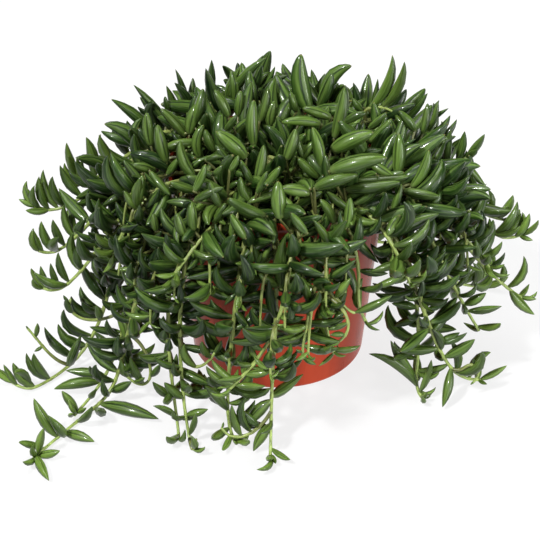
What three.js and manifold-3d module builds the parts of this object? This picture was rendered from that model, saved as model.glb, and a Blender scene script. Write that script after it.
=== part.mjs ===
// A potted string of bananas: a trailing succulent in a conical plastic nursery pot.
// Millimetres, +Z up. The origin is the middle of the pot's base, on the surface that it stands on.
// +X is to the viewer's right and -Y faces the viewer.

import * as THREE from "three";
import { mergeVertices } from "three/addons/utils/BufferGeometryUtils.js";
import Module from "manifold-3d";

const wasm = await Module();
wasm.setup();

// Pot
const POT_HEIGHT = 125;
const POT_RIM_RADIUS = 65;
const POT_BASE_RADIUS = 51.5;
const POT_WALL = 1.6;
const POT_FLOOR = 2;
const POT_EDGE_ROUND = 3;
const POT_LIP = 0.6;
const POT_LIP_HEIGHT = 5;
const POT_SIDES = 40;
const DRAIN_COUNT = 6;
const DRAIN_RADIUS = 4;
const DRAIN_CIRCLE = 33;
const DRAIN_SIDES = 8;

// Soil
const SOIL_TOP = 112;
const SOIL_DOME = 4;
const SOIL_SIDES = 24;
const CLEARANCE = 0.3;

// Stems. A stem that would pass too near another is turned and lifted by small steps until it is clear.
const STEM_RADIUS = 1.25;
const STEM_SIDES = 3;
const STEM_DEPTH = 9;
const STEM_RISE = 17;
const STEM_STEP = 15;
const STEM_GAP = 1.3;
const STEM_TRIES = 60;
const STEM_TURN = 1.1;
const STEM_LIFT = 2.2;
const STEM_LIFTS = 5;
const STEM_FREE = 14;
const HOLE_RADIUS = 2.3;
const HOLE_DEPTH = 10;
const HOLE_SIDES = 5;
const ROOT_CIRCLES = [50, 41];
const SPAN_POINTS = 16;
const BALL_STEP = 2;
const DIRECTION_STEP = 1.5;

// Crown shoots, placed by the golden angle over the soil. They rise and then run across the crown, each in
// its own direction. A pair is the value in the middle and at the outside. The slope is how much lower the
// crown stands for each step to the right.
const SHOOT_COUNT = 21;
const SHOOT_SPREAD = 32;
const SHOOT_REACH = [26, 50];
const SHOOT_TOP = [22, 19];
const SHOOT_SLOPE = 0.14;
const SHOOT_BOW = 5;
const SHOOT_MIDDLE = 0.45;
const SHOOT_SWING = 250;
const SHOOT_TURN = 9;
const SHOOT_VIGOUR = [0.85, 1.15];
const GOLDEN_ANGLE = 137.508;

// Leaves. A pair is the value in the crown and where a stem hangs, and a trail passes from the one to the
// other between two lengths from its foot. Pace goes from a stem's foot to its tip instead. A range is the
// least and the most of what is drawn: the angle off the stem, the bend from root to tip in radians, how
// much a leaf stands above its stem, its size and its plumpness.
const LEAF_PACE = { shoot: [4.2, 4.2], trail: [8.5, 16] };
const LEAF_BARE = { shoot: 9, trail: 18 };
const CROWN_ENDS = [45, 100];
const LEAF_LENGTH = [30, 28];
const LEAF_SHRINK = 0.2;
const LEAF_SLENDERNESS = [0.168, 0.137];
const LEAF_TAPER = [0.62, 0.82];
const LEAF_RISE_RANGES = [[0.05, 0.85], [0.8, 1.0]];
const LEAF_SPREAD_RANGES = [[0.9, 1.9], [0.6, 1.45]];
const LEAF_BEND_RANGES = [[0.3, 1.6], [0.6, 2.0]];
const LEAF_STRAY = [2.0, 1.3];
const LEAF_SIZE_RANGE = [0.68, 1.25];
const LEAF_PLUMPNESS_RANGE = [0.88, 1.12];
const LEAF_SHIFT = 3;
const LEAF_WOBBLE = 0.7;
const LEAF_SIDES = 3;
const LEAF_RINGS = [0.3, 0.72];
const LAST_SHARE = 0.999;
const LEAF_GAP = 0.5;
const LEAF_NECK = 0.015;
const LEAF_SKEW = 0.9;
const LEAF_MARKS = [0.12, 0.22, 0.32, 0.43, 0.54, 0.65, 0.76, 0.87, 0.97];
const THINNEST = 0.5;
const FLOOR_GAP = 0.35;

// How leaves turn to the light, as pairs of the same kind: the sideways lift, and the pull of the light and
// of the stem's own way on the bend. Then how much of the stem's way a leaf on a hanging stem loses, and how
// much more it bends.
const LIGHT_LIFT = [0, 0.9];
const LIGHT_PULL = [0.1, 0.9];
const STEM_PULL = [0.1, 0.3];
const HANG_LOSS = 0.55;
const HANG_BEND = 0.25;

// The small leaves that close a stem's tip, by their distance from its end.
const TIP_PLACES = [3.5, 0.6];
const TIP_CLEAR = 8;
const TIP_SPREAD = 0.45;
const TIP_SIZE = 0.72;

// A leaf that would touch another tries other angles round the stem and off it, and then shorter. The shares
// are how much of a leaf, from its root, may touch its own stem and that stem's other leaves.
const LEAF_TRIES = 14;
const LEAF_TURN = 0.42;
const LEAF_OPENING = 0.2;
const OPEN_AFTER = 2;
const SHORT_AFTER = 8;
const SHORT_SIZE = 0.75;
const OWN_STEM_SHARE = 0.4;
const OWN_LEAF_SHARE = 0.5;

// The routes of the trails, chosen by hand. Each point is [azimuth in degrees, distance from the axis,
// height], and the last points of the longest lie on the surface under the pot.
// Azimuth 0 is +X, 90 is the back, 180 is -X and 270 faces the viewer.
const TRAILS = [
  [[0, 78, 134], [0, 106, 102], [1, 132, 70], [2, 146, 74]],
  [[9, 78, 132], [9, 100, 106], [9, 122, 80], [8, 137, 76]],
  [[20, 76, 132], [19, 94, 110], [18, 110, 88], [17, 121, 84]],
  [[29, 74, 134], [29, 94, 84], [28, 106, 42], [27, 120, 5], [24, 142, 2]],
  [[38, 76, 134], [38, 96, 112], [37, 116, 86]],
  [[49, 74, 134], [49, 96, 88], [51, 110, 54], [52, 124, 32]],
  [[61, 74, 132], [61, 93, 76], [60, 103, 26], [58, 120, 4], [53, 142, 2]],
  [[74, 76, 134], [74, 98, 104], [76, 116, 80]],
  [[87, 74, 134], [87, 93, 84], [90, 104, 42], [94, 114, 8], [99, 134, 2]],
  [[100, 76, 134], [100, 96, 108], [98, 112, 86]],
  [[113, 74, 132], [113, 93, 78], [116, 104, 30], [118, 120, 4], [124, 144, 2]],
  [[126, 76, 134], [126, 98, 108], [128, 118, 82]],
  [[139, 74, 134], [139, 98, 90], [137, 114, 52], [136, 128, 16], [135, 146, 2]],
  [[151, 76, 132], [151, 98, 106], [152, 118, 84]],
  [[164, 76, 134], [164, 96, 114], [164, 117, 94], [165, 126, 93]],
  [[174, 78, 134], [175, 107, 104], [176, 134, 85], [177, 146, 92]],
  [[182, 74, 134], [183, 96, 80], [187, 104, 30], [191, 122, 2], [199, 146, 2], [201, 160, 2], [196, 167, 2]],
  [[188, 80, 134], [187, 107, 98], [184, 132, 67], [185, 143, 73]],
  [[198, 78, 134], [196, 108, 86], [192, 131, 52], [191, 142, 56]],
  [[204, 74, 132], [202, 92, 78], [200, 96, 34], [206, 114, 5], [214, 144, 2]],
  [[212, 78, 140], [212, 98, 122], [211, 111, 100]],
  [[219, 78, 134], [217, 100, 82], [213, 108, 30], [212, 116, 2], [216, 144, 2], [221, 185, 2]],
  [[229, 78, 136], [229, 100, 80], [236, 108, 24], [239, 112, 4], [241, 118, 2]],
  [[236, 82, 140], [235, 98, 90], [238, 106, 36], [243, 114, 5], [246, 122, 2]],
  [[246, 82, 134], [242, 100, 124], [238, 111, 108]],
  [[258, 80, 138], [256, 93, 102], [254, 98, 58], [253, 103, 12], [257, 109, 2]],
  [[268, 76, 132], [270, 90, 88], [268, 102, 46], [268, 110, 8], [268, 123, 2]],
  [[276, 84, 138], [273, 102, 98], [266, 110, 66], [256, 112, 42]],
  [[287, 84, 138], [287, 98, 104], [285, 97, 78], [289, 99, 56]],
  [[298, 82, 134], [300, 94, 104], [298, 94, 84], [302, 96, 68]],
  [[306, 84, 136], [308, 96, 128], [310, 105, 114], [312, 112, 96]],
  [[316, 78, 136], [320, 99, 92], [324, 110, 50], [331, 119, 13], [340, 129, 2]],
  [[326, 76, 132], [328, 92, 86], [327, 100, 40], [325, 99, 6], [324, 106, 2]],
  [[334, 78, 142], [335, 98, 98], [338, 116, 58], [341, 126, 36]],
  [[343, 80, 142], [344, 104, 106], [348, 128, 70]],
  [[351, 78, 138], [351, 106, 88], [353, 130, 56], [356, 148, 38]],
];

const COLOURS = { pot: "#a8452d", soil: "#2c2119", shoot: "#3c6a26", trail: "#4a7a2e" };

const UP = new THREE.Vector3(0, 0, 1);

// A number from 0 to 1 that depends only on the stem, the leaf and what it is drawn for.
function draw(stem, leaf, what) {
  const wave = Math.sin(stem * 12.9898 + leaf * 78.233 + what * 37.719) * 43758.5453;
  return wave - Math.floor(wave);
}

// The value that lies share of the way from the first of a pair to the second.
function mix([from, to], share) {
  return from + (to - from) * share;
}

// The range that lies share of the way from the first of a pair of ranges to the second.
function mixRange([from, to], share) {
  return [mix([from[0], to[0]], share), mix([from[1], to[1]], share)];
}

// The point at an azimuth in degrees, a distance from the axis and a height.
function polar(azimuth, distance, height) {
  const angle = THREE.MathUtils.degToRad(azimuth);
  return new THREE.Vector3(distance * Math.cos(angle), distance * Math.sin(angle), height);
}

// A closed solid from a geometry: its vertices merged and the faces that collapse at a pole left out.
function solidFrom(geometry) {
  const bare = geometry.index ? geometry.toNonIndexed() : geometry.clone();
  bare.deleteAttribute("normal");
  bare.deleteAttribute("uv");
  const merged = mergeVertices(bare, 1e-4);
  const corners = merged.index.array;
  const triVerts = [];
  for (let i = 0; i < corners.length; i += 3) {
    const [a, b, c] = [corners[i], corners[i + 1], corners[i + 2]];
    if (a !== b && b !== c && c !== a) triVerts.push(a, b, c);
  }
  const vertProperties = new Float32Array(merged.attributes.position.array);
  return new wasm.Manifold(
    new wasm.Mesh({ numProp: 3, vertProperties, triVerts: new Uint32Array(triVerts) }),
  );
}

// A named mesh of a solid, in one plain colour.
function meshFrom(name, solid, colour, roughness) {
  const { vertProperties, triVerts } = solid.getMesh();
  const geometry = new THREE.BufferGeometry();
  geometry.setAttribute("position", new THREE.BufferAttribute(vertProperties, 3));
  geometry.setIndex(new THREE.BufferAttribute(triVerts, 1));
  geometry.computeVertexNormals();
  const material = new THREE.MeshStandardMaterial({ color: colour, roughness, metalness: 0 });
  const mesh = new THREE.Mesh(geometry, material);
  mesh.name = name;
  return mesh;
}

// A profile of [radius, height] pairs turned about the Z axis.
function turned(profile, sides) {
  const points = profile.map(([radius, height]) => new THREE.Vector2(radius, height));
  return new THREE.LatheGeometry(points, sides).rotateX(Math.PI / 2);
}

// An upright prism that stands on a point.
function prism(radius, height, sides, foot) {
  const geometry = new THREE.CylinderGeometry(radius, radius, height, sides).rotateX(Math.PI / 2);
  return solidFrom(geometry.translate(foot.x, foot.y, foot.z + height / 2));
}

// The outer radius of the pot's wall at a height.
function wallRadius(height) {
  return POT_BASE_RADIUS + ((POT_RIM_RADIUS - POT_BASE_RADIUS) * height) / POT_HEIGHT;
}

function makePot() {
  const round = POT_EDGE_ROUND;
  const lipFoot = POT_HEIGHT - POT_LIP_HEIGHT;
  const outside = [
    [0, 0],
    [POT_BASE_RADIUS - round, 0],
    [POT_BASE_RADIUS - round * 0.35, round * 0.3],
    [wallRadius(round), round],
    [wallRadius(lipFoot), lipFoot],
    [wallRadius(lipFoot) + POT_LIP, lipFoot + POT_LIP],
    [POT_RIM_RADIUS + POT_LIP, POT_HEIGHT - POT_LIP],
    [POT_RIM_RADIUS, POT_HEIGHT],
  ];
  const inside = [
    [POT_RIM_RADIUS - POT_WALL, POT_HEIGHT],
    [wallRadius(POT_FLOOR) - POT_WALL, POT_FLOOR],
    [0, POT_FLOOR],
  ];
  let pot = solidFrom(turned([...outside, ...inside], POT_SIDES));
  for (let i = 0; i < DRAIN_COUNT; i++) {
    const foot = polar(((i + 0.5) * 360) / DRAIN_COUNT, DRAIN_CIRCLE, -1);
    pot = pot.subtract(prism(DRAIN_RADIUS, POT_FLOOR + 2, DRAIN_SIDES, foot));
  }
  return meshFrom("pot", pot, COLOURS.pot, 0.35);
}

// The soil's top is a low dome, SOIL_DOME higher in the middle than at the wall.
function soilHeight(distance) {
  const edge = wallRadius(SOIL_TOP) - POT_WALL;
  return SOIL_TOP + SOIL_DOME * (1 - (distance / edge) ** 2);
}

function makeSoil(stems) {
  const foot = POT_FLOOR + CLEARANCE;
  const flats = Math.cos(Math.PI / POT_SIDES);
  const inner = (height) => (wallRadius(height) - POT_WALL) * flats - CLEARANCE;
  const edge = inner(SOIL_TOP);
  const profile = [
    [0, foot],
    [inner(foot), foot],
    [edge, SOIL_TOP],
    [edge * 0.66, soilHeight(edge * 0.66)],
    [0, SOIL_TOP + SOIL_DOME],
  ];
  let soil = solidFrom(turned(profile, SOIL_SIDES));
  for (const { root } of stems) {
    const bottom = root.clone().setZ(root.z - HOLE_DEPTH);
    soil = soil.subtract(prism(HOLE_RADIUS, HOLE_DEPTH + 2 * SOIL_DOME, HOLE_SIDES, bottom));
  }
  return meshFrom("soil", soil, COLOURS.soil, 0.95);
}

// A clamped uniform cubic B-spline through hand-chosen points, sampled into a dense line of points.
function splinePoints(route) {
  const last = route.length - 1;
  const knots = [route[0], route[0], ...route, route[last], route[last]];
  const points = [];
  for (let i = 0; i + 3 < knots.length; i++) {
    for (let k = 0; k < SPAN_POINTS; k++) {
      const t = k / SPAN_POINTS;
      points.push(
        new THREE.Vector3()
          .addScaledVector(knots[i], (1 - t) ** 3 / 6)
          .addScaledVector(knots[i + 1], (3 * t ** 3 - 6 * t ** 2 + 4) / 6)
          .addScaledVector(knots[i + 2], (-3 * t ** 3 + 3 * t ** 2 + 3 * t + 1) / 6)
          .addScaledVector(knots[i + 3], t ** 3 / 6),
      );
    }
  }
  points.push(route[last].clone());
  return points;
}

// A stem's middle line, read by its length from the foot.
class StemLine extends THREE.Curve {
  constructor(points) {
    super();
    this.points = points;
    this.marks = [0];
    for (let i = 1; i < points.length; i++) {
      this.marks.push(this.marks[i - 1] + points[i].distanceTo(points[i - 1]));
    }
    this.total = this.marks[points.length - 1];
  }

  at(length) {
    let i = 1;
    while (i < this.points.length - 1 && this.marks[i] < length) i++;
    const share = (length - this.marks[i - 1]) / (this.marks[i] - this.marks[i - 1]);
    return this.points[i - 1].clone().lerp(this.points[i], share);
  }

  direction(length) {
    const ahead = this.at(Math.min(length + DIRECTION_STEP, this.total));
    return ahead.sub(this.at(Math.max(length - DIRECTION_STEP, 0))).normalize();
  }

  getPoint(t) {
    return this.at(t * this.total);
  }
}

// True where a ball is clear of the pot, the soil and the surface under the pot.
function clearOfPot(centre, radius) {
  if (centre.z < radius + FLOOR_GAP) return false;
  if (centre.z > POT_HEIGHT + radius + CLEARANCE) return true;
  const distance = Math.hypot(centre.x, centre.y);
  const wall = wallRadius(centre.z);
  if (distance > wall + POT_LIP + radius + CLEARANCE) return true;
  const inside = distance < wall - POT_WALL - radius - CLEARANCE;
  return inside && centre.z > soilHeight(distance) + radius + CLEARANCE;
}

// The balls that take up space so far. Each has a centre, a radius and its stem's number, and its leaf's
// place in order or -1 on the stem itself.
const taken = [];

function clearOfTaken(ball, gap, skips) {
  for (const other of taken) {
    if (skips(other)) continue;
    const reach = ball.radius + other.radius + gap;
    if (ball.centre.distanceToSquared(other.centre) < reach * reach) return false;
  }
  return true;
}

// A stem's line: straight up out of its hole, then along its route. Its foot is at the soil's surface.
function stemLine(root, route) {
  const rise = root.clone().setZ(root.z + STEM_RISE);
  const bottom = root.clone().setZ(root.z - STEM_DEPTH);
  const start = root.clone().setZ(root.z + 1);
  return new StemLine([bottom, ...splinePoints([start, rise, ...route])]);
}

function stemBalls(line, number) {
  const balls = [];
  for (let length = STEM_DEPTH; length <= line.total; length += BALL_STEP) {
    balls.push({ centre: line.at(length), radius: STEM_RADIUS, number, leaf: -1 });
  }
  return balls;
}

// A stem takes the first of its tries that passes clear of the pot and of the stems before it.
function growStem(kind, number, root, routeAt) {
  for (let attempt = 0; attempt < STEM_TRIES; attempt++) {
    const side = attempt % 2 ? 1 : -1;
    const turn = side * Math.ceil(attempt / 2) * STEM_TURN;
    const lift = (attempt % STEM_LIFTS) * STEM_LIFT;
    const line = stemLine(root, routeAt(turn, lift));
    const balls = stemBalls(line, number);
    const isClear = (ball) =>
      (ball.centre.z > SOIL_TOP && ball.centre.distanceTo(root) < STEM_FREE) ||
      (clearOfPot(ball.centre, ball.radius) && clearOfTaken(ball, STEM_GAP, () => false));
    if (balls.every(isClear)) {
      taken.push(...balls);
      return { kind, number, root, line, leaves: [] };
    }
  }
  throw new Error(`${kind} ${number} has no clear route`);
}

function growTrails() {
  return TRAILS.map((route, i) => {
    const circle = ROOT_CIRCLES[i % 2];
    const root = polar(route[0][0], circle, soilHeight(circle));
    const routeAt = (turn, lift) =>
      route.map(([azimuth, distance, height], k) => {
        const raised = k === 0 ? lift : 0;
        return polar(azimuth + turn, distance, height + raised);
      });
    return growStem("trail", i, root, routeAt);
  });
}

function growShoots() {
  const shoots = [];
  for (let i = 0; i < SHOOT_COUNT; i++) {
    const number = TRAILS.length + i;
    const share = Math.sqrt((i + 0.5) / SHOOT_COUNT);
    const azimuth = i * GOLDEN_ANGLE;
    const distance = SHOOT_SPREAD * share;
    const root = polar(azimuth, distance, soilHeight(distance));
    const vigour = mix(SHOOT_VIGOUR, draw(number, 0, 1));
    const reach = mix(SHOOT_REACH, share) * vigour;
    const top = (mix(SHOOT_TOP, share) - SHOOT_SLOPE * root.x) * vigour;
    const heading = azimuth + SHOOT_SWING * (draw(number, 0, 8) - 0.5);
    const routeAt = (turn, lift) => {
      const way = heading + SHOOT_TURN * turn;
      const middle = polar(way, SHOOT_MIDDLE * reach, top + lift).add(root);
      return [middle, polar(way, reach, top - SHOOT_BOW + lift).add(root)];
    };
    shoots.push(growStem("shoot", number, root, routeAt));
  }
  return shoots;
}

// A leaf's middle line is an arc that leaves the stem along start and bends towards inward by bend radians.
function leafPoint(leaf, t) {
  const along = Math.sin(leaf.bend * t) / leaf.bend;
  const across = (1 - Math.cos(leaf.bend * t)) / leaf.bend;
  return leaf.base
    .clone()
    .addScaledVector(leaf.start, leaf.length * along)
    .addScaledVector(leaf.inward, leaf.length * across);
}

// Half the leaf's width at t from root to tip: a neck, a full middle nearer the root, and a point.
function leafRadius(leaf, t) {
  return leaf.radius * Math.sin(Math.PI * mix([LEAF_NECK, 1], t) ** LEAF_SKEW) ** leaf.taper;
}

// How far a stem at this length has passed from the crown's way of growing to that of a hanging stem.
function hangShare(kind, length) {
  if (kind === "shoot") return 0;
  return THREE.MathUtils.clamp((length - CROWN_ENDS[0]) / (CROWN_ENDS[1] - CROWN_ENDS[0]), 0, 1);
}

// The leaf at one place on a stem, the way that one of its tries turns, opens and shortens it.
function leafAt(stem, order, length, isTip, attempt) {
  const { kind, number, line } = stem;
  const hang = hangShare(kind, length);
  const drawn = (what) => draw(number, order, what);
  const ranged = (ranges, what) => mix(mixRange(ranges, hang), drawn(what));
  const along = line.direction(length);
  const level = Math.abs(along.z) < 0.9 ? UP : line.at(length).setZ(0);
  const across = new THREE.Vector3().crossVectors(along, level).normalize();
  const above = new THREE.Vector3().crossVectors(across, along);
  const turn = (attempt % 2 ? attempt : -attempt) * LEAF_TURN;
  const angle = order * THREE.MathUtils.degToRad(GOLDEN_ANGLE) + LEAF_WOBBLE * drawn(2) + turn;
  const out = across
    .clone()
    .multiplyScalar(Math.cos(angle))
    .addScaledVector(above, Math.sin(angle) * ranged(LEAF_RISE_RANGES, 11));
  const lift = UP.clone().addScaledVector(along, -along.z);
  out.addScaledVector(lift, mix(LIGHT_LIFT, hang)).normalize();
  const opening = attempt > OPEN_AFTER ? LEAF_OPENING * ((attempt % 3) - 1) : 0;
  const spread = (isTip ? TIP_SPREAD : ranged(LEAF_SPREAD_RANGES, 3)) + opening;
  const fall = Math.max(0, -along.z);
  const start = along
    .clone()
    .multiplyScalar(Math.cos(spread) * (1 - HANG_LOSS * fall))
    .addScaledVector(out, Math.sin(spread))
    .normalize();
  const goal = new THREE.Vector3(drawn(8), drawn(9), drawn(10))
    .subScalar(0.5)
    .multiplyScalar(mix(LEAF_STRAY, hang))
    .addScaledVector(UP, mix(LIGHT_PULL, hang))
    .addScaledVector(along, mix(STEM_PULL, hang) * (1 - fall));
  const inward = goal.addScaledVector(start, -goal.dot(start)).normalize();
  const shortening = attempt > SHORT_AFTER ? SHORT_SIZE : 1;
  const shrink = 1 - LEAF_SHRINK * hang * (length / line.total) ** 3;
  const size = mix(LEAF_SIZE_RANGE, drawn(4)) * (isTip ? TIP_SIZE : 1) * shortening * shrink;
  const leafLength = mix(LEAF_LENGTH, hang) * size;
  return {
    at: length,
    base: line.at(length),
    start,
    inward,
    length: leafLength,
    radius: leafLength * mix(LEAF_SLENDERNESS, hang) * mix(LEAF_PLUMPNESS_RANGE, drawn(5)),
    bend: ranged(LEAF_BEND_RANGES, 6) + HANG_BEND * fall,
    taper: mix(LEAF_TAPER, hang),
  };
}

function leafBalls(leaf, number, order) {
  return LEAF_MARKS.map((t) => ({
    centre: leafPoint(leaf, t),
    radius: Math.max(leafRadius(leaf, t), THINNEST),
    t,
    number,
    leaf: order,
  }));
}

// Near its root a leaf may touch its own stem, and the roots of that stem's other leaves.
function leafIsClear(balls, number) {
  return balls.every((ball) => {
    const isOwnRoot = (other) => {
      if (other.number !== number) return false;
      return other.leaf < 0 ? ball.t < OWN_STEM_SHARE : Math.min(ball.t, other.t) < OWN_LEAF_SHARE;
    };
    return clearOfPot(ball.centre, ball.radius) && clearOfTaken(ball, LEAF_GAP, isOwnRoot);
  });
}

// Leaves stand along the stem a pace apart, and smaller ones close its tip. Each takes the first of its
// tries that is clear of everything before it, and is left out where none is.
function growLeaves(stem) {
  const { kind, number, line } = stem;
  const places = [];
  let length = STEM_DEPTH + LEAF_BARE[kind];
  while (length < line.total - TIP_CLEAR) {
    places.push([length + LEAF_SHIFT * (draw(number, places.length, 7) - 0.5), false]);
    length += mix(LEAF_PACE[kind], length / line.total);
  }
  for (const back of TIP_PLACES) places.push([line.total - back, true]);
  places.forEach(([place, isTip], order) => {
    for (let attempt = 0; attempt < LEAF_TRIES; attempt++) {
      const leaf = leafAt(stem, order, place, isTip, attempt);
      const balls = leafBalls(leaf, number, order);
      if (leafIsClear(balls, number)) {
        taken.push(...balls);
        stem.leaves.push(leaf);
        return;
      }
    }
  });
}

// A leaf's solid: a few-sided spindle turned about its own length, then laid along the leaf's arc. Its root
// is a point in the middle of the stem.
function leafSolid(leaf, rootPoint) {
  const profile = [[0, 0], ...LEAF_RINGS.map((t) => [leafRadius(leaf, t), t]), [0, 1]];
  const points = profile.map(([radius, t]) => new THREE.Vector2(radius, t));
  const geometry = new THREE.LatheGeometry(points, LEAF_SIDES);
  const position = geometry.attributes.position;
  const side = new THREE.Vector3().crossVectors(leaf.start, leaf.inward);
  for (let i = 0; i < position.count; i++) {
    const t = position.getY(i);
    const turn = leaf.bend * t;
    const inner = leaf.inward.clone().multiplyScalar(Math.cos(turn));
    inner.addScaledVector(leaf.start, -Math.sin(turn));
    const point = t > 0 ? leafPoint(leaf, t) : rootPoint.clone();
    point.addScaledVector(side, position.getX(i)).addScaledVector(inner, position.getZ(i));
    position.setXYZ(i, point.x, point.y, point.z);
  }
  return solidFrom(geometry);
}

function makeStem(stem) {
  const { kind, number, line, leaves } = stem;
  const section = new THREE.Shape();
  for (let i = 0; i < STEM_SIDES; i++) {
    const angle = (i * 2 * Math.PI) / STEM_SIDES;
    const [x, y] = [STEM_RADIUS * Math.cos(angle), STEM_RADIUS * Math.sin(angle)];
    if (i === 0) section.moveTo(x, y);
    else section.lineTo(x, y);
  }
  const steps = Math.round(line.total / STEM_STEP);
  const joints = line.getSpacedPoints(steps);
  const tube = new THREE.ExtrudeGeometry(section, { steps, extrudePath: line, bevelEnabled: false });
  let solid = solidFrom(tube);
  for (const leaf of leaves) {
    const share = Math.min(leaf.at / line.total, LAST_SHARE) * steps;
    const step = Math.floor(share);
    const rootPoint = joints[step].clone().lerp(joints[step + 1], share - step);
    solid = solid.add(leafSolid(leaf, rootPoint));
  }
  const label = kind === "trail" ? number + 1 : number - TRAILS.length + 1;
  return meshFrom(`${kind}_${String(label).padStart(2, "0")}`, solid, COLOURS[kind], 0.4);
}

const plant = new THREE.Group();
const trails = growTrails();
const shoots = growShoots();
const stems = [...trails, ...shoots];
for (const stem of [...shoots, ...trails]) growLeaves(stem);
plant.add(makePot(), makeSoil(stems));
for (const stem of stems) plant.add(makeStem(stem));

export default plant;
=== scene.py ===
"""A potted string of bananas in a studio: every leaf, stem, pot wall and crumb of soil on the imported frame.

Shapes are worked out in millimetres, in the frame's own axes: +Z up, +X to the viewer's right, -Y towards
the viewer, and the origin in the middle of the pot's base. They turn into metres when a mesh is made.
"""

import math

import bpy
import numpy as np
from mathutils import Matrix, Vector


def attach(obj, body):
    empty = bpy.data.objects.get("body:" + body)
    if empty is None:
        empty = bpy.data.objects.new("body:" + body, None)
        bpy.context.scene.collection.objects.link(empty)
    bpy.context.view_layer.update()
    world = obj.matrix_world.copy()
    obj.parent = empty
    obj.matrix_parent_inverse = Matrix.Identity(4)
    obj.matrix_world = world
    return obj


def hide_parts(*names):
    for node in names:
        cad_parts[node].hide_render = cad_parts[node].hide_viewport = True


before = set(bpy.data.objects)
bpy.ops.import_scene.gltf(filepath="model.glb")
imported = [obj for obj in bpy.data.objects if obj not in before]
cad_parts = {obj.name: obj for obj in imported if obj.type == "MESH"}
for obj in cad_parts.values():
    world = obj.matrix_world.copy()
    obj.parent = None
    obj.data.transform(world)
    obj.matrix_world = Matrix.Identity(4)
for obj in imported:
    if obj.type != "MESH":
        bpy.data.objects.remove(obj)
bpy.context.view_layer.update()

MM = 0.001
GOLDEN = math.radians(137.508)
UP = np.array([0.0, 0.0, 1.0])

# Draws: the same stem, leaf and name always give the same share. Each name stands for a number.
DRAW_WAVES = [12.9898, 78.233, 37.719]
DRAW_GAIN = 43758.5453
DRAWS = {
    "vigour": 1,
    "turn": 2,
    "spread": 3,
    "size": 4,
    "plumpness": 5,
    "bend": 6,
    "place": 7,
    "heading": 8,
    "stray x": 8,
    "stray y": 9,
    "stray z": 10,
    "rise": 11,
    "extra place": 13,
    "sway": 15,
    "tone": 16,
    "bark tone": 17,
    "groove": 18,
    "youth": 19,
    "twig place": 21,
    "twig drop": 22,
    "twig reach": 23,
    "twig side": 24,
    "crumb": 31,
    "crumb corner": 32,
}

# Pot
POT_HEIGHT = 125
POT_RIM_RADIUS = 65
POT_BASE_RADIUS = 51.5
POT_WALL = 1.6
POT_FLOOR = 2
POT_EDGE_ROUND = 3
POT_LIP = 0.6
POT_LIP_HEIGHT = 5
POT_SIDES = 192
POT_WALL_RINGS = [40, 30]
POT_FLAT_MARGIN = 4
POT_FLOOR_RING = 20
POT_INNER_ROUND = 2
POT_LIP_SLOPE = [0.75, 0.4]

# Arcs of the pot's profile: from one angle to another in degrees, and how many points.
FOOT_ARC = (-88, -4, 9)
RIM_ARC = (0, 180, 11)
FLOOR_ARC = (-10, -85, 5)

# Drain holes
DRAIN_COUNT = 6
DRAIN_RADIUS = 4
DRAIN_CIRCLE = 33
DRAIN_SIDES = 48
DRAIN_DRILL = 2
DRAIN_EDGE = math.radians(60)

# Soil
SOIL_TOP = 112
SOIL_DOME = 4
SOIL_RINGS = 110
SOIL_SIDES = 300
SOIL_CENTRE = 0.02
SOIL_SIDE_RINGS = 12

# The soil's bumps: waves of three lengths and heights. Each is a sum of five sines that run different ways,
# each a little longer than the one before, and it dies away at the soil's edge by a high power.
SOIL_BUMPS = [(5.2, 0.75), (2.6, 0.5), (1.3, 0.28)]
SOIL_WAVES = 5
SOIL_WAVE_TURN = 1.257
SOIL_WAVE_GROWTH = 0.13
SOIL_EDGE_POWER = 8

# Crumbs of bark
CRUMB_COUNT = 620
CRUMB_SIZE = [0.7, 2.3]
CRUMB_SPREAD = 58
CRUMB_LATITUDES = [-45, 0, 45]
CRUMB_SIDES = 6
CRUMB_WOBBLE = 0.4
CRUMB_ROUGHNESS = [0.75, 1.2]
CRUMB_SQUASH = [(0.8, 1.3), (0.6, 1.0), (0.5, 0.8)]

# Stems
STEM_RADIUS = 1.25
STEM_DEPTH = 9
STEM_RISE = 17
STEM_GAP = 1.3
STEM_TRIES = 60
STEM_TURN = 1.1
STEM_LIFT = 2.2
STEM_LIFTS = 5
STEM_FREE = 14
STEM_SIDES = 9
STEM_RING_STEP = 1.6
STEM_LEAST_RINGS = 4
STEM_FOOT_CAP = 0.3
STEM_FRAME_START = [0.31, 0.95, 0.02]
JOINT_SWELLING = 0.22
JOINT_LENGTH = 1.3
STEM_THICKNESS = {
    "trail": [1.55, 0.85],
    "shoot": [1.5, 0.95],
    "twig": [1.1, 0.6],
    "sprig": [1.0, 0.7],
    "arm": [1.2, 0.7],
    "spur": [0.9, 0.6],
}
STEM_YOUTH = {"trail": 1.0, "shoot": 0.5, "twig": 0.8, "sprig": 0.35, "arm": 1.0, "spur": 0.1}
ROOT_CIRCLES = [50, 41]
SPAN_POINTS = 16
BALL_STEP = 2
DIRECTION_STEP = 1.5

# Crown shoots. A pair is the value in the middle and at the outside.
SHOOT_COUNT = 21
SHOOT_SPREAD = 32
SHOOT_REACH = [26, 50]
SHOOT_TOP = [22, 19]
SHOOT_SLOPE = 0.14
SHOOT_BOW = 5
SHOOT_MIDDLE = 0.45
SHOOT_SWING = 250
SHOOT_TURN = 9
SHOOT_VIGOUR = [0.85, 1.15]

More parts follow.
